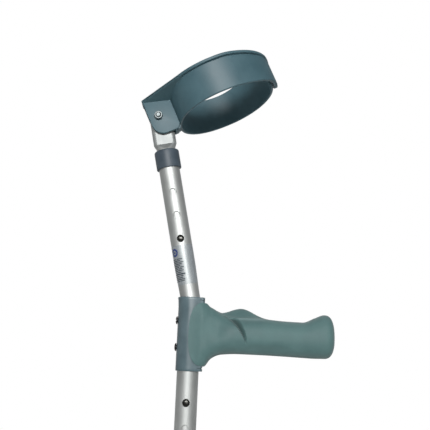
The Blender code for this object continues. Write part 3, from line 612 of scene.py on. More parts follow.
def snapButton(name, matrix, body, node):
    bore = innerRadius - wall
    flangeTop = sqrt(bore ** 2 - button["flange"] ** 2) - gap
    crown = mainRadius + button["proud"]
    low = flangeTop - button["flangeThickness"]
    profile = [(0, low), (button["flange"] - 0.0002, low), (button["flange"], low + 0.0002),
        (button["flange"], flangeTop)]
    profile += [(button["radius"], flangeTop)]
    for i in range(11):
        turn = radians(90 - 8.8 * i)
        profile.append((button["radius"] * sin(turn), crown - button["dome"] * (1 - cos(turn))))
    profile.append((0, crown))
    piece = meshObject(name, lathe(profile, 48))
    return finishPiece(piece, matrix @ toFront, body, node, darkOxideSteel)


legButtonPlace = tubeFrame @ lifted(-layout["legButtonDrop"])
forearmButtonPlace = bendFrame @ lifted(layout["forearmButtonRise"])
snapButton("legButton", legButtonPlace, "leg_button", "leg_button")
snapButton("forearmButton", forearmButtonPlace, "forearm_button", "forearm_button")


def springClip(name, node):
    # a copy of the clip's part in spring strip takes the original's place; on the real clip the fold stays on
    # its tube and the front arm goes in with the button
    source = frame["nodes"][node]
    mesh = source.data.copy()
    mesh.transform(source.matrix_world)
    mesh.materials.clear()
    mesh.materials.append(springStrip)
    piece = newObject(name, mesh)
    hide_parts(node)
    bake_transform(piece)


springClip("legButtonClip", "leg_button_clip")
springClip("forearmButtonClip", "forearm_button_clip")


# collars: push-on end caps that guide the inner tubes

collar = {"wall": 0.0018, "length": 0.020, "cap": 0.0035, "round": 0.0019, "rise": 0.143, "skirtRound": 0.0006}


def collarShape():
    bore = mainRadius + gap
    edge = bore + collar["wall"]
    guide = innerRadius + gap
    top = collar["length"]
    profile = [(bore, 0.0003), (bore + 0.0003, 0)] + arc((edge - collar["skirtRound"], collar["skirtRound"]),
        collar["skirtRound"], -90, 0, 4)
    profile += arc((edge - collar["round"], top - collar["round"]), collar["round"], 0, 90, 8)
    profile += [(guide + 0.0004, top), (guide, top - 0.0004), (guide, top - collar["cap"]),
        (bore, top - collar["cap"])]
    return lathe(profile, tubeSides)


upperPlace = bendFrame @ lifted(collar["rise"])
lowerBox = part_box("lower_collar")
lowerPlace = Matrix.Translation((tubeX, 0, lowerBox[1].z)) @ spun(180, "X")
for name, place, node in (("upperCollar", upperPlace, "upper_collar"),
        ("lowerCollar", lowerPlace, "lower_collar")):
    finishPiece(meshObject(name, collarShape()), place, "frame", node, mouldedPolyamide)
print("buttons and collars made")


# handle sleeve: clasps the tube, half round behind and closing to a narrower front

sleeve = {
    "halfHeight": 0.0370, "bush": 0.0004, "wall": 0.0012, "frontWall": 0.0030, "frontInset": 0.0020,
    "lip": 0.0005, "grooveDepth": 0.0007, "grooveHeight": 0.0011, "grooveDrop": 0.0024, "grooveStart": 0.0095}
sleeveRadius = mainRadius + sleeve["bush"] + sleeve["wall"]
sleeveFront = mainRadius + sleeve["bush"] + sleeve["frontWall"]
sleeveFrontHalf = mainRadius - sleeve["frontInset"]


def sleeveRing(extra=0.0, groove=0.0):
    radius = sleeveRadius + extra
    front = sleeveFront + extra
    frontHalf = sleeveFrontHalf + extra
    ring = []
    for i in range(tubeSides):
        turn = 2 * pi * (i + 0.5) / tubeSides
        x, y = radius * cos(turn), radius * sin(turn)
        if x > 0:
            limit = frontHalf + (radius - frontHalf) * (1 - cos(turn) ** 2)
            reach = min(limit / max(abs(sin(turn)), 1e-6), front / cos(turn))
            reach = min(reach, hypot(front - 0.0004, frontHalf - 0.0004))
            x, y = reach * cos(turn), reach * sin(turn)
            if groove and x > sleeve["grooveStart"]:
                x, y = x - groove, y * (1 - groove / frontHalf)
        ring.append((x, y))
    return ring


def pathShift(height):
    if height <= bendHeight - tangent:
        return 0.0
    turn = asin(min((height - bendHeight + tangent) / bendRadius, sin(lean)))
    return -bendRadius * (1 - cos(turn))


half = sleeve["halfHeight"]
lip = sleeve["lip"]
low = half - sleeve["grooveDrop"]
lower = low - sleeve["grooveHeight"]
steps = [(half, -lip, 0), (half - lip * 0.3, -lip * 0.3, 0), (half - lip, 0, 0), (low, 0, 0),
    (low - 0.0002, 0, 1), (lower + 0.0002, 0, 1), (lower, 0, 0)]
levels = [(-z, extra, groove) for z, extra, groove in steps]
levels += [(-0.012, 0, 0), (0.0, 0, 0), (0.012, 0, 0), (bendHeight - tangent, 0, 0)]
levels += [(z, extra, groove) for z, extra, groove in reversed(steps) if z > bendHeight - tangent + 0.0002]
outer, inner = [], []
for z, extra, groove in levels:
    shift = pathShift(z)
    outer.append([(x + shift * (x < 0), y, z) for x, y in sleeveRing(extra, groove * sleeve["grooveDepth"])])
    boreRing = [polar(mainRadius + sleeve["bush"], 2 * pi * (i + 0.5) / tubeSides) for i in range(tubeSides)]
    inner.append([(x + shift, y, z) for x, y in boreRing])
handleSleeve = meshObject("handleSleeve", skin(outer, inner))
finishPiece(handleSleeve, tubeFrame, "frame", "handle_sleeve", polishedPolypropylene, sharp=30)


# rivet screws: black, slotted, through the sleeve and the tube into the handle's core

rivet = {"headRadius": 0.0041, "headHeight": 0.0019, "shank": 0.0024, "spacing": 0.0270, "slotWidth": 0.0012,
    "slotDepth": 0.0009}
for name, node, side, slotTurn in (("upperRivet", "upper_rivet", 1, 0), ("lowerRivet", "lower_rivet", -1, 38)):
    headLow = -(sleeveRadius + gap)
    crown = headLow - rivet["headHeight"]
    profile = dome(rivet["headRadius"], crown, rivet["headHeight"] * 0.8)
    profile += [(rivet["headRadius"], headLow), (rivet["shank"], headLow), (rivet["shank"], 0.0300),
        (0, 0.0300)]
    piece = meshObject(name, lathe(profile, 48))
    reach = rivet["headRadius"] * 1.3
    width = rivet["slotWidth"] / 2
    slotShape = slab([(-width, -reach), (width, -reach), (width, reach), (-width, reach)], crown - 0.001,
        crown + rivet["slotDepth"])
    carve(piece, [moved(slotShape, spun(slotTurn, "Z"))])
    place = tubeFrame @ lifted(side * rivet["spacing"] / 2) @ toPalm
    finishPiece(piece, place, "frame", node, blackenedSteel)
print("sleeve and rivets made")


# hand grip: over-moulded elastomer with a thumb bowl at the tube, a heel rest on the far side and a bulbed end

grip = {
    "end": 0.1331, "endStart": 0.1226, "endPower": 2.6, "power": 2.3, "skin": 0.0026, "flangeBack": 0.0152,
    "flangePower": 2.6, "flangeRim": 0.0011, "flangeHeight": 0.0320, "lobeReach": 0.0376,
    "lobeLength": 0.0180, "lobeRise": 0.0135, "lobeTurn": 62, "lobeSpread": 34, "lobeLean": 0.35,
    "creaseDepth": 0.0066, "creaseWidth": 0.0080, "lipRise": 0.0010, "troughDepth": 0.0046,
    "ridgeRise": 0.0008, "bowlDepth": 0.0040, "facetDepth": 0.0020, "sides": 168,
    # turn, its spread, distance past the sleeve and its length
    "trough": (93, 13, 0.036, 0.020), "ridge": (109, 6, 0.036, 0.022),
    # past the tube's axis and its spread, height and its spread
    "bowl": (0.029, 0.010, 0.008, 0.014),
    # start and end past the tube's axis, height and its spread
    "facet": (0.050, 0.110, -0.0135, 0.0045),
    # height and spread of the painted highlight along the near top ridge
    "ridgeHighlight": (0.0172, 0.0012)}
sleeveSide = sleeveRadius + gap + grip["skin"]
gripStations = [
    # past the sleeve's front: top, bottom, near, far
    (0.0006, 0.0320, -0.0320, sleeveSide, sleeveSide),
    (0.0050, 0.0289, -0.0275, 0.0164, 0.0168),
    (0.0086, 0.0272, -0.0236, 0.0172, 0.0180),
    (0.0140, 0.0235, -0.0206, 0.0180, 0.0195),
    (0.0186, 0.0205, -0.0193, 0.0185, 0.0205),
    (0.0356, 0.0170, -0.0181, 0.0165, 0.0200),
    (0.0586, 0.0182, -0.0182, 0.0160, 0.0175),
    (0.0836, 0.0168, -0.0187, 0.0165, 0.0165),
    (0.1006, 0.0165, -0.0192, 0.0170, 0.0170),
    (0.1126, 0.0212, -0.0195, 0.0180, 0.0180),
    (0.1226, 0.0248, -0.0193, 0.0185, 0.0185)]
stationReach = np.array([row[0] for row in gripStations])
stationValue = np.array([row[1:] for row in gripStations])


def gripSpan(reach):
    # a monotone curve through the stations, so the outline has no flat spots or waves
    if reach <= stationReach[0]:
        return stationValue[0]
    if reach >= stationReach[-1]:
        return stationValue[-1]
    i = int(np.searchsorted(stationReach, reach)) - 1
    span = stationReach[i + 1] - stationReach[i]
    t = (reach - stationReach[i]) / span
    slopes = []
    for k in (i, i + 1):
        before = max(k - 1, 0)
        after = min(k + 1, len(stationReach) - 1)
        left = (stationValue[k] - stationValue[before]) / max(stationReach[k] - stationReach[before], 1e-9)
        right = (stationValue[after] - stationValue[k]) / max(stationReach[after] - stationReach[k], 1e-9)
        slopes.append(np.where(left * right > 0,
            2 * left * right / np.where(left + right == 0, 1, left + right), 0))
    a, b = stationValue[i], stationValue[i + 1]
    h1, h2 = 2 * t ** 3 - 3 * t ** 2 + 1, t ** 3 - 2 * t ** 2 + t
    h3, h4 = -2 * t ** 3 + 3 * t ** 2, t ** 3 - t ** 2
    return a * h1 + b * h3 + span * (slopes[0] * h2 + slopes[1] * h4)


# the bowl's overlapping edge, as (past the tube's axis, height) on the near side
crease = [(0.0330, 0.0215), (0.0385, 0.0180), (0.0430, 0.0140), (0.0480, 0.0088), (0.0520, 0.0030),
    (0.0550, -0.0025), (0.0572, -0.0080)]


def creaseOffset(x, z):
    # how far a near-side point lies past the crease, and how far down the crease it is
    best = (1.0, 0.0, 0.0)
    for i in range(len(crease) - 1):
        ax, az = crease[i]
        bx, bz = crease[i + 1]
        dx, dz = bx - ax, bz - az
        t = min(max(((x - ax) * dx + (z - az) * dz) / (dx * dx + dz * dz), 0.0), 1.0)
        px, pz = x - ax - t * dx, z - az - t * dz
        size = hypot(px, pz)
        if size < best[0]:
            side = 1.0 if px * -dz + pz * dx > 0 else -1.0
            best = (size, side * size, (i + t) / (len(crease) - 1))
    return best[1], best[2]


def creaseSpan(down):
    return grip["creaseWidth"] * (1 - down) ** 0.8 + 0.0008


def sleeveHalfAt(x):
    share = min(max(x / sleeveFront, 0.0), 1.0)
    return sleeveFrontHalf + (sleeveRadius - sleeveFrontHalf) * (1 - share * share)


def gripPoint(reach, turn):
    top, bottom, near, far = gripSpan(reach)
    x = sleeveFront + reach
    cosine, sine = cos(turn), sin(turn)
    shrink = 1.0
    if reach > grip["endStart"]:
        share = min((reach - grip["endStart"]) / (grip["end"] - grip["endStart"]), 1.0)
        shrink = max(1 - share ** grip["endPower"], 0.0) ** (1 / grip["endPower"])
    power = 2 / grip["power"]
    y = copysign(abs(cosine) ** power, cosine) * (far if cosine > 0 else near) * shrink
    z = copysign(abs(sine) ** power, sine) * (top if sine > 0 else -bottom) * shrink
    # beside the sleeve the grip is a flange: a skin over the sleeve that swells towards the palm
    flange = 1 - ease((reach + 0.002) / 0.009)
    if flange > 0:
        share = min(max((x + grip["flangeBack"] - sleeveFront) / grip["flangeBack"], 0.0), 1.0)
        arcHeight = grip["flangeHeight"] * max(1 - (1 - share) ** grip["flangePower"],
            0.0) ** (1 / grip["flangePower"])
        height = copysign(abs(sine) ** 0.9, sine)
        inside = 1 - abs(height)
        swell = (1 - (1 - min(inside * 1.6, 1.0)) ** 2.2) * ease(share * 1.15)
        side = sleeveHalfAt(x) + grip["flangeRim"]
        side += (sleeveSide - side) * swell
        y = y * (1 - flange) + flange * copysign(side * min(1.0, abs(cosine) / 0.16), cosine)
        z = z * (1 - flange) + flange * height * arcHeight
    # heel rest on the far side, with a shallow trough between it and the near edge
    angle = degrees(turn)
    rise = grip["lobeRise"] * bell(reach, grip["lobeReach"], grip["lobeLength"])
    rise *= bell(angle, grip["lobeTurn"], grip["lobeSpread"])
    y += rise * grip["lobeLean"]
    middle, spread, past, length = grip["trough"]
    z += rise - grip["troughDepth"] * bell(angle, middle, spread) * bell(reach, past, length)
    middle, spread, past, length = grip["ridge"]
    z += grip["ridgeRise"] * bell(angle, middle, spread) * bell(reach, past, length, 4)
    # thumb bowl's edge laps over the handle on the near side
    if y < 0:
        facing = ease(-y / 0.008)
        past, down = creaseOffset(x, z)
        fade = (1 - down) * ease(down / 0.18)
        if past > 0:
            y += facing * grip["creaseDepth"] * fade ** 0.6 * max(1 - past / creaseSpan(down), 0.0) ** 0.8
        else:
            y -= facing * grip["lipRise"] * fade * exp(past / 0.004)
            # the bowl's hollow, deepest midway between the flange's rim and the crease
            reachOut, wide, up, tall = grip["bowl"]
            y += facing * grip["bowlDepth"] * bell(x, reachOut, wide) * bell(z, up, tall)
        # a flat runs along the lower near side
        start, end, up, tall = grip["facet"]
        facet = ease((x - start) / 0.02) * ease((end - x) / 0.03) * bell(z, up, tall)
        y += facing * grip["facetDepth"] * facet
    return x, y, z


reachList = [-grip["flangeBack"] + (grip["flangeBack"] + 0.0006) * (i / 34) ** 1.5 for i in range(35)]
reachList += [0.0006 + (grip["endStart"] - 0.0006) * i / 170 for i in range(1, 171)]
reachList += [grip["end"] - (grip["end"] - grip["endStart"]) * (1 - i / 24) ** 2 for i in range(1, 24)]
rings = []
for reach in reachList:
    rings.append([gripPoint(reach, 2 * pi * (i + 0.5) / grip["sides"]) for i in range(grip["sides"])])
handGrip = meshObject("handGrip", skin(rings))
sleeveRoom = [(x - (0.002 if x < 0 else 0), y) for x, y in sleeveRing(gap)]
carve(handGrip, [slab(sleeveRoom, -0.05, 0.05)])
relax = handGrip.modifiers.new("relax", "SMOOTH")
relax.factor = 0.3
relax.iterations = 1
settle(handGrip)
# painted shade in the bowl's crease and a painted highlight along the near top ridge, stored per point for the
# elastomer's colour
shadeAndHighlight = []
for x, y, z in positions(handGrip.data):
    past, down = creaseOffset(x, z)
    width = creaseSpan(down)
    creaseShade = ridgeHighlight = 0.0
    # painted shade in the crease
    if y < -0.004:
        creaseShade = ease(down / 0.15) * (1 - down) ** 0.5 * max(1 - abs(past - width * 0.35) / (width * 0.75), 0.0)
    if -0.014 < y < -0.001:
        # painted highlight along the near top ridge
        ridgeHighlight = bell(z, *grip["ridgeHighlight"]) * ease((x - 0.034) / 0.012) * ease((0.085 - x) / 0.02)
    shadeAndHighlight.append(0.5 - 0.5 * min(creaseShade * 1.5, 1.0) + 0.5 * ridgeHighlight)
paintedShadeAndHighlight = handGrip.data.attributes.new("paintedShadeAndHighlight", "FLOAT", "POINT")
paintedShadeAndHighlight.data.foreach_set("value", shadeAndHighlight)
finishPiece(handGrip, tubeFrame, "frame", "hand_grip", softElastomer, sharp=50)
print("hand grip made")


# cuff: a moulded band with a rolled lip, its near end outside its far end, on a two-eared bracket

cuff = {
    "backReach": 0.0188, "sideOffset": 0.0035, "halfLength": 0.0527, "halfWidth": 0.0555, "power": 2.15,
    "wall": 0.0030, "bottom": -0.0165, "bottomSlope": 0.0018, "top": 0.0228, "lipHeight": 0.0032,
    "lipWidth": 0.00336, "outerEnd": 0.5, "innerEnd": -16.0, "overlap": 0.0038, "endDrop": 0.0105,
    "endDropOver": 85.0, "outerLipOver": 46.0, "innerLipOver": 50.0, "outerLipStart": 10.0,
    "endThick": 0.0013, "farSwell": 0.0015, "farDip": 0.0040, "farDipAt": 85.0, "farDipSpread": 52.0,
    "steps": 300, "endRound": 0.0055, "edgeRound": 0.0011, "earThickness": 0.0035, "earBack": -0.0105,
    "earBottom": -0.0205, "earCorner": 0.013, "stopHeight": 0.0035, "roof": 0.0030, "roofOverhang": 0.0006,
    "gussetSlope": 0.46, "washer": 0.0009}
cuffMiddle = Vector((cuff["backReach"] + cuff["halfLength"], cuff["sideOffset"]))
earGap = flatEnd["thickness"] / 2 + cuff["washer"] + 2 * gap + 0.0001
earOuter = earGap + cuff["earThickness"]


def cuffPoint(angle):
    turn = radians(angle)
    partX = abs(cos(turn)) / cuff["halfLength"]
    partY = abs(sin(turn)) / cuff["halfWidth"]
    radius = (partX ** cuff["power"] + partY ** cuff["power"]) ** (-1 / cuff["power"])
    radius += ease((angle + 70) / 50) * (cuff["wall"] + cuff["overlap"])
    radius += ease((-300 - angle) / 60) * cuff["farSwell"]
    return cuffMiddle + radius * Vector((cos(turn), sin(turn)))


def cuffBand():
    start, end = cuff["outerEnd"], cuff["innerEnd"] - 360
    middleRadius = (cuff["halfLength"] + cuff["halfWidth"]) / 2
    angles = [start + (end - start) * i / cuff["steps"] for i in range(cuff["steps"] + 1)]
    fine = [0.02, 0.08, 0.2, 0.4, 0.7]
    angles = [start - d for d in [0] + fine] + angles[1:-1] + [end + d for d in reversed([0] + fine)]
    rings = []
    for angle in angles:
        centre = cuffPoint(angle)
        run = cuffPoint(angle - 0.4) - cuffPoint(angle + 0.4)
        outward = Vector((run.y, -run.x)).normalized()
        if outward.dot(centre - cuffMiddle) < 0:
            outward = -outward
        edge = min(start - angle, angle - end) * pi / 180 * middleRadius
        corner = cuff["endRound"] * (1 - sqrt(max(1 - (1 - min(edge / cuff["endRound"], 1.0)) ** 2, 0.0)))
        thin = cuff["wall"] / 2 * sqrt(max(1 - (1 - min((edge + 0.00015) / 0.0014, 1.0)) ** 2, 0.02))
        lipShare = ease(min((start - angle - cuff["outerLipStart"]) / cuff["outerLipOver"],
            (angle - end) / cuff["innerLipOver"]))
        within = thin + cuff["endThick"] * ease((angle + 60) / 50) * thin / cuff["wall"] * 2
        lip = thin + 0.0002 + cuff["lipWidth"] * lipShare
        top = cuff["top"] - cuff["endDrop"] * (1 - ease((start - angle) / cuff["endDropOver"])) - corner
        top -= cuff["farDip"] * ease(1 - abs(angle + 360 - cuff["farDipAt"]) / cuff["farDipSpread"])
        lipLow = top - cuff["lipHeight"]
        low = cuff["bottom"] - cuff["bottomSlope"] * sin(radians(angle)) + corner
        corners = [(-within, low), (thin, low), (thin, lipLow), (lip, lipLow), (lip, top), (-within, top)]
        edge = cuff["edgeRound"]
        section = filleted(corners, [edge, edge, 0.0010, edge, edge, edge], 4)
        rings.append([(centre.x + outward.x * out, centre.y + outward.y * out, z) for out, z in section])
    return skin(rings)


def roofTangent(side):
    lip = cuff["wall"] / 2 + cuff["lipWidth"]
    corner = Vector((cuff["earBack"] - cuff["roofOverhang"], side * earOuter))
    best = None
    for angle in range(95, 170):
        turn = -180 - side * (180 - angle)
        middle = cuffPoint(turn) - cuffMiddle
        edge = cuffMiddle + middle * (1 + lip / middle.length)
        steep = atan2(side * (edge.y - corner.y), edge.x - corner.x)
        if best is None or steep > best[0]:
            best = (steep, turn, edge)
    return corner, best[1], best[2]


def roofOutline():
    nearCorner, nearAngle, nearEdge = roofTangent(-1)
    farCorner, farAngle, farEdge = roofTangent(1)
    made = [nearCorner[:], nearEdge[:]]
    made += [cuffPoint(nearAngle + (farAngle - nearAngle) * i / 48)[:] for i in range(49)]
    return made + [farEdge[:], farCorner[:]]


def gusset(side):
    corner, angle, edge = roofTangent(side)
    run = (edge - corner).normalized()
    depth = earOuter - cuff["earThickness"] / 2
    lowAngle = -180 - side * degrees(asin(depth / cuff["halfWidth"]))
    wallStart = cuffPoint(lowAngle)
    count = 24
    inner = [Vector((cuff["earBack"], side * depth)).lerp(Vector((wallStart.x, side * depth)), i / count)
        for i in range(count)]
    inner += [cuffPoint(lowAngle + (angle - lowAngle) * i / count) for i in range(count + 1)]
    rings = []
    for i in range(1, 2 * count):
        outer = corner.lerp(edge, i / (2 * count))
        point = inner[i]
        away = point - corner
        inset = abs(away.x * run.y - away.y * run.x)
        low = cuff["top"] - cuff["roof"] - cuff["gussetSlope"] * inset
        high = cuff["top"] - 0.0006
        rings.append([(outer.x, outer.y, high), (outer.x, outer.y, cuff["top"] - cuff["roof"] + 0.0002),
            (point.x, point.y, low), (point.x, point.y, high)])
    return skin(rings)


cuffWallBack = cuff["backReach"] - cuff["wall"] * 0.2
earTop = cuff["top"] - cuff["roof"] * 0.5
earOutline = [(cuff["earBack"], earTop)]
earOutline += arc((cuff["earBack"] + cuff["earCorner"], cuff["earBottom"] + cuff["earCorner"]),
    cuff["earCorner"], 180, 270, 20)
earOutline += [(cuffWallBack - 0.0035, cuff["earBottom"]), (cuffWallBack, cuff["bottom"] + 0.001),
    (cuffWallBack, earTop)]
flatWidth = flatEnd["thickness"] + pi * (2 * innerRadius - flatEnd["thickness"]) / 2
slotFront = -flatEnd["pivotOffset"] + flatWidth / 2 + 0.0013
relativeLean = radians(layout["cuffLean"]) - lean
stopTop = cuff["earBottom"] + cuff["stopHeight"]
stopReach = (-flatEnd["pivotOffset"] + flatWidth / 2) / cos(relativeLean) + stopTop * tan(relativeLean) + gap
webOutline = [(stopReach, cuff["earBottom"] - 0.0012), (cuffWallBack - 0.0006, cuff["earBottom"] + 0.0006),
    (cuffWallBack, cuff["earBottom"] + 0.0042), (cuffWallBack, earTop), (slotFront, earTop),
    (slotFront, stopTop), (stopReach, stopTop)]
parts = []
for name, shape, width in (
        ("nearEar", slab(earOutline, -earOuter, -earGap, "Y"), 0.0005),
        ("farEar", slab(earOutline, earGap, earOuter, "Y"), 0.0005),
        ("web", slab(webOutline, -earGap - 0.0002, earGap + 0.0002, "Y"), 0.0002),
        ("roof", slab(roofOutline(), cuff["top"] - cuff["roof"], cuff["top"] - 0.0002), 0.0006)):
    part = meshObject(name, shape)
    soften(part, width)
    parts.append(([tuple(v.co) for v in part.data.vertices], [tuple(f.vertices) for f in part.data.polygons]))
    bpy.data.objects.remove(part)
cuffPiece = meshObject("cuffShell", merge(cuffBand(), gusset(-1), gusset(1), *parts))
finishPiece(cuffPiece, cuffFrame, "cuff", "cuff", mouldedPolypropylene, sharp=32)
print("cuff made")


# pivot: bolt with a domed socket head on the far side, hexagon nut on the near side

pivotSet = {
    "bolt": 0.0025, "head": 0.0046, "headHeight": 0.0032, "past": 0.0012, "chamfer": 0.0006,
    "acrossFlats": 0.008, "nutHeight": 0.0040, "socket": 0.0030, "threadPitch": 0.0008, "threadDepth": 0.0003}
nutLow = earOuter + gap
nutHigh = nutLow + pivotSet["nutHeight"]
boltEnd = nutHigh + pivotSet["past"]
headCrown = -(nutLow + pivotSet["headHeight"])
profile = dome(pivotSet["head"], headCrown, pivotSet["headHeight"] * 0.65)
profile += [(pivotSet["head"], -nutLow), (pivotSet["bolt"], -nutLow), (pivotSet["bolt"], nutHigh - 0.0010)]
thread = nutHigh - 0.0010
while thread + pivotSet["threadPitch"] < boltEnd - pivotSet["chamfer"] * 0.5:
    thread += pivotSet["threadPitch"]
    profile += [(pivotSet["bolt"] - pivotSet["threadDepth"], thread - pivotSet["threadPitch"] / 2),
        (pivotSet["bolt"], thread)]
profile += [(pivotSet["bolt"] - pivotSet["chamfer"], boltEnd), (0, boltEnd)]
pivotBolt = meshObject("pivotBolt", lathe(profile, 48))
hexagon = [polar(pivotSet["socket"] / 2 / cos(pi / 6), pi / 3 * i) for i in range(6)]
carve(pivotBolt, [slab(hexagon, headCrown - 0.001, headCrown + 0.0018)])
finishPiece(pivotBolt, cuffFrame @ toFront, "cuff", "pivot_bolt", dullZincSteel)


def nutRing(height, reach, bore):
    ring, hole = [], []
    for i in range(144):
        turn = 2 * pi * i / 144
        facet = (turn + pi / 6) % (pi / 3) - pi / 6
        radius = min(pivotSet["acrossFlats"] / 2 / cos(facet), reach)
        ring.append((*polar(radius, turn), height))
        hole.append((*polar(bore, turn), height))
    return ring, hole


across = pivotSet["acrossFlats"] / 2
boltHole = pivotSet["bolt"] + gap
nutRows = [
    # height, reach as a share of half the flats, and how much the bore opens
    (nutLow, 0.97, 0.0004), (nutLow + 0.0004, 1.16, 0), (nutHigh - 0.0006, 1.16, 0),
    (nutHigh - 0.0002, 1.02, 0), (nutHigh, 0.95, 0.0003)]
made = [nutRing(height, across * share, boltHole + opening) for height, share, opening in nutRows]
pivotNut = meshObject("pivotNut", skin([m[0] for m in made], [m[1] for m in made]))
finishPiece(pivotNut, cuffFrame @ toFront @ spun(12, "Z"), "cuff", "pivot_nut", dullZincSteel,
    sharp=18)
for node in ("near_pivot_washer", "far_pivot_washer"):
    keepNode(node, mouldedPolyamide)
for node in ("pivot_spacer", "ferrule_washer"):
    keepNode(node, zincPlatedSteel)
print("pivot made")


# ferrule: ribbed rubber foot with ring treads

ferruleSet = {
    "height": 0.050, "base": 0.018, "neck": 0.0131, "floor": 0.0215, "rib": 0.0012, "treads": 4,
    "treadDepth": 0.0013, "flutes": 12, "fluteDepth": 0.0007, "fluteSpan": (0.0095, 0.0290)}


def ferruleProfile():
    base, neck, top = ferruleSet["base"], ferruleSet["neck"], ferruleSet["height"]
    bore = innerRadius + gap
    profile = [(0, 0.0010), (0.0030, 0.0010), (0.0034, 0)]
    pitch = (base - 0.0016 - 0.0034) / ferruleSet["treads"]
    for i in range(ferruleSet["treads"] - 1):
        r = 0.0034 + pitch * (i + 1)
        profile += [(r - 0.0010, 0), (r - 0.0007, ferruleSet["treadDepth"]),
            (r + 0.0003, ferruleSet["treadDepth"]), (r + 0.0006, 0)]
    profile += arc((base - 0.0014, 0.0014), 0.0014, -90, 0, 6)
    profile += [(base, 0.0058)] + arc((base - 0.0012, 0.0062), 0.0012, 10, 70, 4)
    for i in range(13):
        t = i / 12
        profile.append((base - 0.0022 + (neck + 0.0002 - base + 0.0022) * ease(t) ** 0.8, 0.0088 + 0.0205 * t))
    for ridge in (0.0330, 0.0385, 0.0440):
        profile.append((neck, ridge - 0.0002))
        for i in range(9):
            turn = pi * i / 8
            profile.append((neck + ferruleSet["rib"] * sin(turn), ridge + 0.0018 * (1 - cos(turn))))
        profile.append((neck, ridge + 0.0038))
    profile += arc((neck - 0.0008, top - 0.0008), 0.0008, 0, 90, 4)
    profile += [(bore + 0.0004, top), (bore, top - 0.0004), (bore, ferruleSet["floor"]),
        (0, ferruleSet["floor"])]
    return profile


ferrulePoints, ferruleFaces = lathe(ferruleProfile(), 144)
fluted = []
for x, y, z in ferrulePoints:
    radius = hypot(x, y)
    flute = 0.0
    low, high = ferruleSet["fluteSpan"]
    if low < z < high and radius > ferruleSet["neck"] - 0.0001:
        fade = ease(min((z - low) / 0.003, (high - z) / 0.004))
        flute = ferruleSet["fluteDepth"] * fade * max(cos(ferruleSet["flutes"] * atan2(y, x)), 0.0) ** 2
    scale = (radius - flute) / radius if radius > 0 else 1.0
    fluted.append((x * scale, y * scale, z))
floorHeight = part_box("ferrule")[0].z
ferruleFoot = meshObject("ferruleFoot", (fluted, ferruleFaces))
finishPiece(ferruleFoot, tubeFrame @ lifted(floorHeight), "leg", "ferrule", vulcanisedRubber)
print("ferrule made")


# label: clear film round the near side, printed with a plain mark and a column of short bars

label = {"low": 0.018, "high": 0.059, "span": 190.0, "lift": 0.0001, "thickness": 0.00015, "columns": 150,
    "rows": 96}


def printedAt(angle, height):
    # which ink lies at an angle round the tube and a height up the film; 0 is bare film
    if not 182 < angle < 268:
        return 0
    fromTop = (label["high"] - height) * 1000
    if 2.5 < fromTop < 11.5:
        x = (angle - 222) / 20
        z = (fromTop - 7) / 4.3
        size = hypot(x, z)
        return 1 if 0.55 < size < 1.0 or size < 0.28 else 0
    if 13.5 < fromTop < 38:
        bar = int((fromTop - 13.5) / 1.75)
        inBar = (fromTop - 13.5) / 1.75 - bar
        ends = (262, 250, 266, 255, 244, 264, 252, 260, 247, 266, 254, 250, 262, 258)[bar % 14]
        gaps = (226, 0, 235, 214, 0, 240, 229, 0, 218, 0, 233, 222, 0, 230)[bar % 14]
        return 2 if inBar < 0.5 and 188 < angle < ends and abs(angle - gaps) > 2.5 else 0
    return 0


first = 270 - label["span"] / 2 - 5
rings = []
for row in range(label["rows"] + 1):
    height = label["low"] + (label["high"] - label["low"]) * row / label["rows"]
    narrow = mainCentreline(height + cornerShift)[2]
    ring = []
    under = mainRadius + label["lift"]
    columns = range(label["columns"] + 1)
    for radius, order in ((under + label["thickness"], columns), (under, reversed(columns))):
        for i in order:
            x, y = polar(radius, radians(first + label["span"] * i / label["columns"]))
            ring.append((x * (1 - mainRadius * (1 - narrow) / radius), y, height))
    rings.append(ring)
labelPiece = meshObject("labelFilm", skin(rings))
finishPiece(labelPiece, bendFrame, "frame", "blank_label", clearPolyester, sharp=60)
labelPiece.data.materials.append(printedBlue)
labelPiece.data.materials.append(printedGrey)
for face in labelPiece.data.polygons:
    x, y, z = toBend @ face.center
    if hypot(x, y) > 0:
        outwards = (toBend.to_3x3() @ face.normal).dot(Vector((x, y, 0)).normalized())
        if outwards > 0.5:
            face.material_index = printedAt(degrees(atan2(y, x)) % 360, z)
print("label made")


# floor, light and camera

stageSet = {"floor": "#f4f4f2", "room": 0.05, "sides": 0.30, "behind": 0.6, "above": 0.32}
floorMesh = meshObject("studioFloor",
    skin([circle(3.5, floorHeight - 0.02), circle(3.5, floorHeight - 0.0002)]))
floorLook, floorTree, floorShader = newFinish("paintedFloor",
    {"Base Color": toLinear(stageSet["floor"]), "Roughness": 0.7})
floorPlace = addNode(floorTree, "TexCoord")
floorNoise = addNode(floorTree, "TexNoise", {"Scale": 9.0, "Detail": 4.0},
    {"Vector": floorPlace.outputs["Object"]})
floorRough = addNode(floorTree, "MapRange", fromTo(0, 1, 0.6, 0.8), {"Value": floorNoise})
wire(floorTree, floorRough, floorShader, "Roughness")
floorMesh.data.materials.append(floorLook)

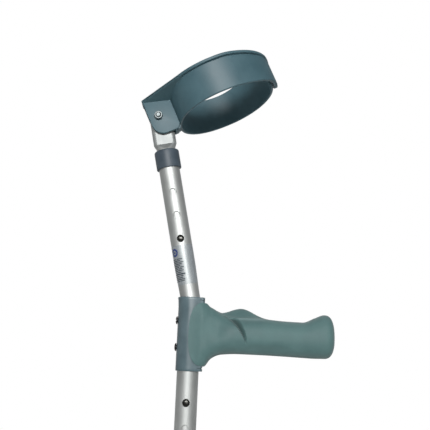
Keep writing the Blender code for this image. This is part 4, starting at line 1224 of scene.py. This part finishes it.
world = bpy.data.worlds.new("studioWorld")
world.use_nodes = True
bpy.context.scene.world = world
skyTree = world.node_tree
skyTree.nodes.clear()
direction = addNode(skyTree, "TexCoord")
split = addNode(skyTree, "SeparateXYZ", None, {"Vector": direction.outputs["Generated"]})
across = addNode(skyTree, "Math", None, {0: split.outputs["X"]}, operation="ABSOLUTE")
level = addNode(skyTree, "Math", None, {0: split.outputs["Z"]}, operation="ABSOLUTE")
sideCards = addNode(skyTree, "MapRange", fromTo(0.25, 0.85, 0.0, stageSet["sides"]), {"Value": across},
    interpolation_type="SMOOTHSTEP")
lowCards = addNode(skyTree, "MapRange", fromTo(0.35, 0.75, 1.0, 0.0), {"Value": level},
    interpolation_type="SMOOTHSTEP")
cards = addNode(skyTree, "Math", None, {0: sideCards, 1: lowCards}, operation="MULTIPLY")
backdrop = addNode(skyTree, "MapRange", fromTo(0.55, 0.98, stageSet["room"], stageSet["behind"]),
    {"Value": split.outputs["Y"]})
ceiling = addNode(skyTree, "MapRange", fromTo(0.45, 0.95, 0.0, stageSet["above"]),
    {"Value": split.outputs["Z"]}, interpolation_type="SMOOTHSTEP")
around = addNode(skyTree, "Math", None, {0: cards, 1: backdrop}, operation="ADD")
strength = addNode(skyTree, "Math", None, {0: around, 1: ceiling}, operation="ADD")
roomLight = addNode(skyTree, "Background", {"Color": (0.97, 0.985, 1.0, 1.0)}, {"Strength": strength})
paper = addNode(skyTree, "Background", {"Color": (1.0, 1.0, 1.0, 1.0), "Strength": 1.0})
seen = addNode(skyTree, "LightPath")
pick = addNode(skyTree, "MixShader", None, {0: seen.outputs["Is Camera Ray"], 1: roomLight, 2: paper})
addNode(skyTree, "OutputWorld", None, {"Surface": pick})


aim = (-0.05, 0.0, 0.12)
softboxes = {
    # place, what it points at, size, power and spread in degrees
    "keySoftbox": ((0.03, -2.35, 0.67), aim, (1.2, 0.28), 8.4, 70),
    "lowSoftbox": ((0.35, -2.2, -0.36), (-0.075, 0.0, -0.26), (1.2, 0.4), 0.10, 20),
    "topSoftbox": ((0.2, 1.3, 2.4), (0, 0.3, -0.7), (1.6, 1.6), 9.0, 180),
    "backSoftbox": ((-0.6, 2.4, 0.9), aim, (1.2, 1.4), 9.0, 180)}
for name, (place, target, size, power, spread) in softboxes.items():
    lamp = bpy.data.lights.new(name, "AREA")
    lamp.shape = "RECTANGLE"
    lamp.size, lamp.size_y = size
    lamp.energy = power
    lamp.spread = radians(spread)
    stand = newObject(name, lamp)
    stand.location = place
    stand.rotation_euler = (Vector(target) - Vector(place)).to_track_quat("-Z", "Y").to_euler()

cameraSet = {"place": (-0.05412, -0.80, -0.0359), "lens": 64.94, "sensor": 36.0, "pitch": 11.371, "roll": 2.42}
camera = bpy.data.cameras.new("studioCamera")
camera.sensor_width = cameraSet["sensor"]
camera.lens = cameraSet["lens"]
eye = newObject("studioCamera", camera)
pitch, roll = radians(cameraSet["pitch"]), radians(cameraSet["roll"])
forward = Vector((0, cos(pitch), sin(pitch)))
level = Vector((0, -sin(pitch), cos(pitch)))
right = cos(roll) * Vector((1, 0, 0)) + sin(roll) * level
up = -sin(roll) * Vector((1, 0, 0)) + cos(roll) * level
eye.matrix_world = Matrix.Translation(cameraSet["place"]) @ Matrix((right, up, -forward)).transposed().to_4x4()
bpy.context.scene.camera = eye
bpy.context.scene.view_settings.view_transform = "Standard"

print("stage ready")
